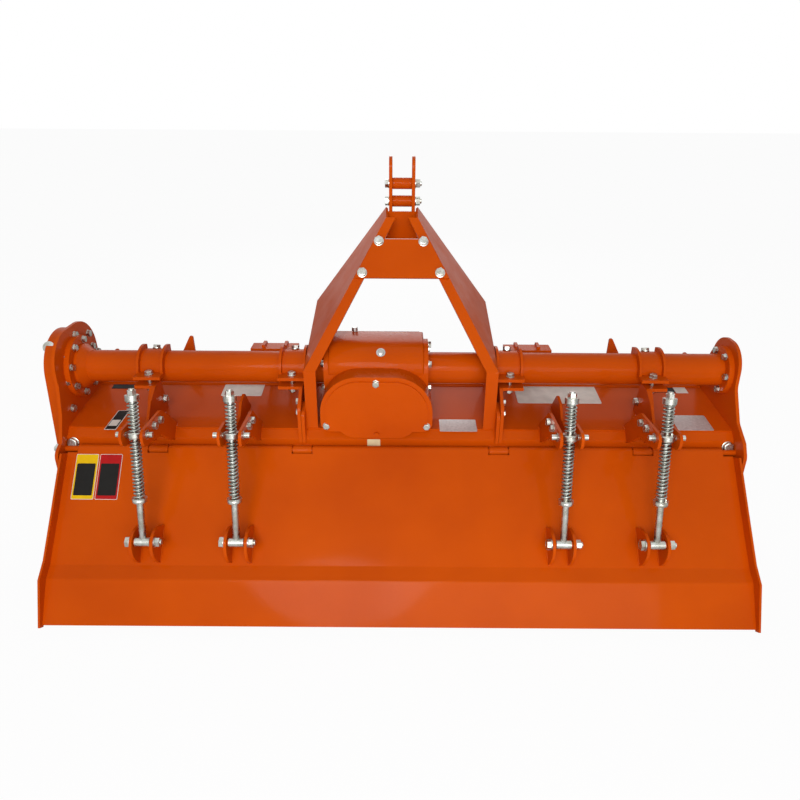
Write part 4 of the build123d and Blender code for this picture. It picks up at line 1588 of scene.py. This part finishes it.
@dataclass
class Welds:
    """Weld beads at the feet of the parts that are welded on.

    Args:
        ripple: length of one ripple along a bead.
        swell: share by which a ripple stands out.
        lag: how far a ripple's edge lags behind its middle, as an angle in radians.
        taper: share of the width at a bead's ends, and how fast it grows along the bead.
        per_ripple: faces along a ripple.
        rows: faces across a bead.
        flat: share of the half width that a bead stands up.
        tongue_half: half the length of a bead at a tongue of the beam.
        tongue_up: height of those beads.
        hood_start: how far ahead of the hood's rear edge the beads beside a bracket start.
        hood_ends: where they end on the hood, on the plain side and on the finned side.
        board_slope: foot and knee of the board's upper sheet as (ahead, up).
        lug_half: half the length of a bead beside a lug.
        lug_width: half width of those beads.
    """

    ripple: float = 0.007
    swell: float = 0.16
    lag: float = 1.4
    taper: tuple = (0.35, 6.0)
    per_ripple: int = 3
    rows: int = 6
    flat: float = 0.7
    tongue_half: float = 0.028
    tongue_up: float = 0.4195
    hood_start: float = 0.004
    hood_ends: tuple = (-0.168, -0.100)
    board_slope: tuple = ((-0.362, 0.277), (-0.466, 0.163))
    lug_half: float = 0.050
    lug_width: float = 0.0036

    def model(self, bead: Bead) -> bpy.types.Object:
        """Model a bead: a strip bowed to a half round, with ripples along it.

        Args:
            bead: where it runs.

        Returns:
            The bead in its place.
        """
        deselect()
        length = (Vector(bead.end) - Vector(bead.start)).length
        count = max(6, int(length / self.ripple * self.per_ripple))
        least, growth = self.taper
        bpy.ops.mesh.primitive_grid_add(x_subdivisions=count, y_subdivisions=self.rows, size=1)
        item = bpy.context.active_object
        with editing(item):
            mesh = bmesh.from_edit_mesh(item.data)
            for vertex in mesh.verts:
                share, across = vertex.co.x + 0.5, vertex.co.y * math.pi
                phase = math.tau * share * length / self.ripple - self.lag * abs(vertex.co.y)
                taper = min(1.0, least + growth * min(share, 1 - share))
                radius = bead.width * (1 + self.swell * math.sin(phase)) * taper
                rise = radius * self.flat * math.cos(across)
                vertex.co = (share * length, radius * math.sin(across), rise)
            bmesh.update_edit_mesh(item.data)
        item.matrix_world = bead.matrix()
        bake_place(item)
        return item

    def fit(self, name: str, body: str, beads: list[Bead]) -> None:
        """Model the beads of one body and join them.

        Args:
            name: the piece's name.
            body: the body that carries it.
            beads: where they run.
        """
        piece = join([self.model(bead) for bead in beads])
        settle(piece, name, PAINT, body, ROUND_ANGLE)

    def frame_beads(self) -> list[Bead]:
        """Beads at the tongues of the beam and under the spring brackets.

        Returns:
            The beads.
        """
        made = []
        for x in TONGUES:
            start = (x - self.tongue_half, BEAM_FACE, self.tongue_up)
            end = (x + self.tongue_half, BEAM_FACE, self.tongue_up)
            made.append(Bead(start, end, (0, -1, 1)))
        slope = (HOOD_CREST[1] - HOOD_REAR[1]) / (HOOD_CREST[0] - HOOD_REAR[0])
        plain, finned = self.hood_ends
        faces = ((-PLATE_OUTSIDE, plain), (PLATE_INSIDE, finned), (PLATE_OUTSIDE, finned))
        for x in RODS:
            outboard = 1 if x > 0 else -1
            for offset, reach in faces:
                place = x + outboard * offset
                way = outboard if offset == PLATE_OUTSIDE else -outboard
                start = (place, HOOD_REAR[0] + self.hood_start, HOOD_REAR[1])
                end = (place, reach, HOOD_REAR[1] + slope * (reach - HOOD_REAR[0]))
                made.append(Bead(start, end, (way, -slope, 1)))
        return made

    def board_beads(self) -> list[Bead]:
        """Beads at the feet of the board's lugs.

        Returns:
            The beads.
        """
        foot, knee = self.board_slope
        span = math.hypot(knee[0] - foot[0], knee[1] - foot[1])
        step = ((knee[0] - foot[0]) / span, (knee[1] - foot[1]) / span)
        out = (step[1], -step[0])
        pin = JOINTS["rod_swing_1"]["pos_m"]
        along = (pin[1] - AXIS_Y - foot[0]) * step[0] + (pin[2] - foot[1]) * step[1]
        ends = [
            (foot[0] + step[0] * reach, foot[1] + step[1] * reach)
            for reach in (along - self.lug_half, along + self.lug_half)
        ]
        made = []
        for x in RODS:
            for offset in (-PLATE_OUTSIDE, -PLATE_INSIDE, PLATE_INSIDE, PLATE_OUTSIDE):
                way = 1 if offset in (-PLATE_INSIDE, PLATE_OUTSIDE) else -1
                start, end = [(x + offset, *spot) for spot in ends]
                made.append(Bead(start, end, (way, *out), self.lug_width))
        return made

    def build(self) -> None:
        """Model every bead."""
        self.fit("welds_frame", "frame", self.frame_beads())
        self.fit("welds_board", "trailing_board", self.board_beads())


@dataclass
class Film:
    """A thin rectangle laid on a face of the machine.

    Args:
        name: the piece's name.
        low: its lower left corner as (x, along), on the face.
        high: its upper right corner.
        finish: what it is made of.
        lift: its height over the face.
        lean: how far its top runs sideways, in metres.
        thickness: its thickness in metres.
        corner: share of its shorter side that is rounded at each corner.
    """

    name: str
    low: tuple
    high: tuple
    finish: Finish
    lift: float = LAYERS[0]
    lean: float = 0.0
    thickness: float = 0.0005
    corner: float = 0.05


@dataclass
class Face:
    """A flat face that films are laid on.

    Args:
        foot: a place on the face, as (ahead, up), that along is measured from.
        along: the direction of along as (ahead, up).
        body: the body that carries it.
    """

    foot: tuple
    along: tuple
    body: str

    def matrix(self, lift: float) -> Matrix:
        """The plane's own X, along and outward directions.

        Args:
            lift: height over the face.

        Returns:
            The directions and the plane's foot as a matrix.
        """
        length = math.hypot(*self.along)
        step = Vector((0, self.along[0] / length, self.along[1] / length))
        out = Vector((1, 0, 0)).cross(step)
        turn = Matrix((Vector((1, 0, 0)), step, out)).transposed().to_4x4()
        return Matrix.Translation(at(0, *self.foot) + out * lift) @ turn

    def lay(self, film: Film) -> None:
        """Model one film and lay it on the face.

        Args:
            film: the rectangle to lay.
        """
        deselect()
        wide, high = film.high[0] - film.low[0], film.high[1] - film.low[1]
        middle = ((film.low[0] + film.high[0]) / 2, (film.low[1] + film.high[1]) / 2, 0)
        bpy.ops.mesh.primitive_plane_add(size=1.0)
        item = bpy.context.active_object
        item.scale = (wide, high, 1)
        item.location = middle
        bake_place(item)
        with editing(item):
            bpy.ops.mesh.select_all(action="SELECT")
            corner = min(wide, high) * film.corner
            bpy.ops.mesh.bevel(offset=corner, segments=3, affect="VERTICES")
            mesh = bmesh.from_edit_mesh(item.data)
            for vertex in mesh.verts:
                vertex.co.x += film.lean * (vertex.co.y - film.low[1]) / high
            bmesh.update_edit_mesh(item.data)
        wall = item.modifiers.new("film", "SOLIDIFY")
        wall.thickness = film.thickness
        wall.offset = 1.0
        apply_modifiers(item)
        item.matrix_world = self.matrix(film.lift)
        settle(item, film.name, film.finish, self.body)


@dataclass
class Labels:
    """Blank plates and stickers on the board, the hood and the beam, and two dark films.

    Args:
        board: the board's upper sheet.
        hood: the hood's slope.
        beam: the beam's rear face.
        panels: name, left edge and finish of the two stickers on the board.
        panel_width: their width.
        panel_ends: their lower and upper edge on the board.
        rim: width of the pale rim round them.
        blank: how far their dark field is set in from the side, the foot and the top.
        hood_films: the films on the hood's slope.
        beam_film: the one on the beam.
    """

    board: Face = field(
        default_factory=lambda: Face((-0.2345, 0.4213), (0.1275, 0.1443), "trailing_board")
    )
    hood: Face = field(default_factory=lambda: Face(HOOD_REAR, (0.265, 0.0345), "frame"))
    beam: Face = field(default_factory=lambda: Face((BEAM_FACE, 0.405), (0, 1), "frame"))
    panels: tuple = (("yellow", -0.9843, YELLOW_FILM), ("red", -0.9125, RED_FILM))
    panel_width: float = 0.0675
    panel_ends: tuple = (-0.158, -0.020)
    rim: float = 0.0015
    blank: tuple = (0.006, 0.012, 0.029)
    hood_films: tuple = (
        Film("label_pale_left", (-0.600, 0.184), (-0.465, 0.258), PALE_FILM),
        Film("label_pale_right", (0.386, 0.150), (0.662, 0.266), PALE_FILM),
        # A black film that darkens the hood's slope near its crest, just below the tube's right
        # end.
        Film("dark_film_crest_right", (0.846, 0.224), (0.930, 0.254), BLACK_FILM),
        Film("label_pale_far_right", (0.931, 0.219), (0.972, 0.265), PALE_FILM),
        Film("label_silver", (0.860, 0.000), (0.971, 0.084), SILVER_PLATE),
        Film("label_plate_middle", (0.121, -0.014), (0.236, 0.052), SILVER_PLATE),
        # A black film that darkens the hood's slope near its crest, just below the tube's left end.
        Film("dark_film_crest_left", (-0.980, 0.226), (-0.873, 0.253), BLACK_FILM),
        Film("label_slanted_rim", (-0.912, -0.016), (-0.875, 0.092), PALE_FILM, lean=0.006),
        Film("label_slanted", (-0.9095, -0.013), (-0.8775, 0.089), BLACK_FILM, LAYERS[1], 0.006),
        Film("label_slanted_panel", (-0.906, 0.004), (-0.880, 0.036), PALE_FILM, LAYERS[2], 0.002),
    )
    beam_film: Film = field(
        default_factory=lambda: Film("label_cream", (-0.1025, 0.0065), (-0.0625, 0.036), CREAM_FILM)
    )

    def build(self) -> None:
        """Lay every label and both dark films."""
        foot, top = self.panel_ends
        side, low, high = self.blank
        for name, left, sheet in self.panels:
            right = left + self.panel_width
            fields = (
                ("rim", (0, 0, 0), PALE_FILM),
                ("sheet", (self.rim, self.rim, self.rim), sheet),
                ("panel", (side, low, high), BLACK_FILM),
            )
            for lift, (part, (inset, up, down), finish) in zip(LAYERS, fields):
                corners = (left + inset, foot + up), (right - inset, top - down)
                self.board.lay(Film(f"label_{name}_{part}", *corners, finish, lift))
        for film in self.hood_films:
            self.hood.lay(film)
        self.beam.lay(self.beam_film)


def main() -> None:
    """Build the looks round the frame."""
    logging.basicConfig(level=logging.INFO, format="%(message)s")
    Studio().build()
    Coat().dress()
    SpringRods().build()
    FrameBolts().build()
    RotorBolts().build()
    BoardPins().build()
    Trim().build()
    Crown().build()
    Welds().build()
    Labels().build()


if __name__ == "__main__":
    main()
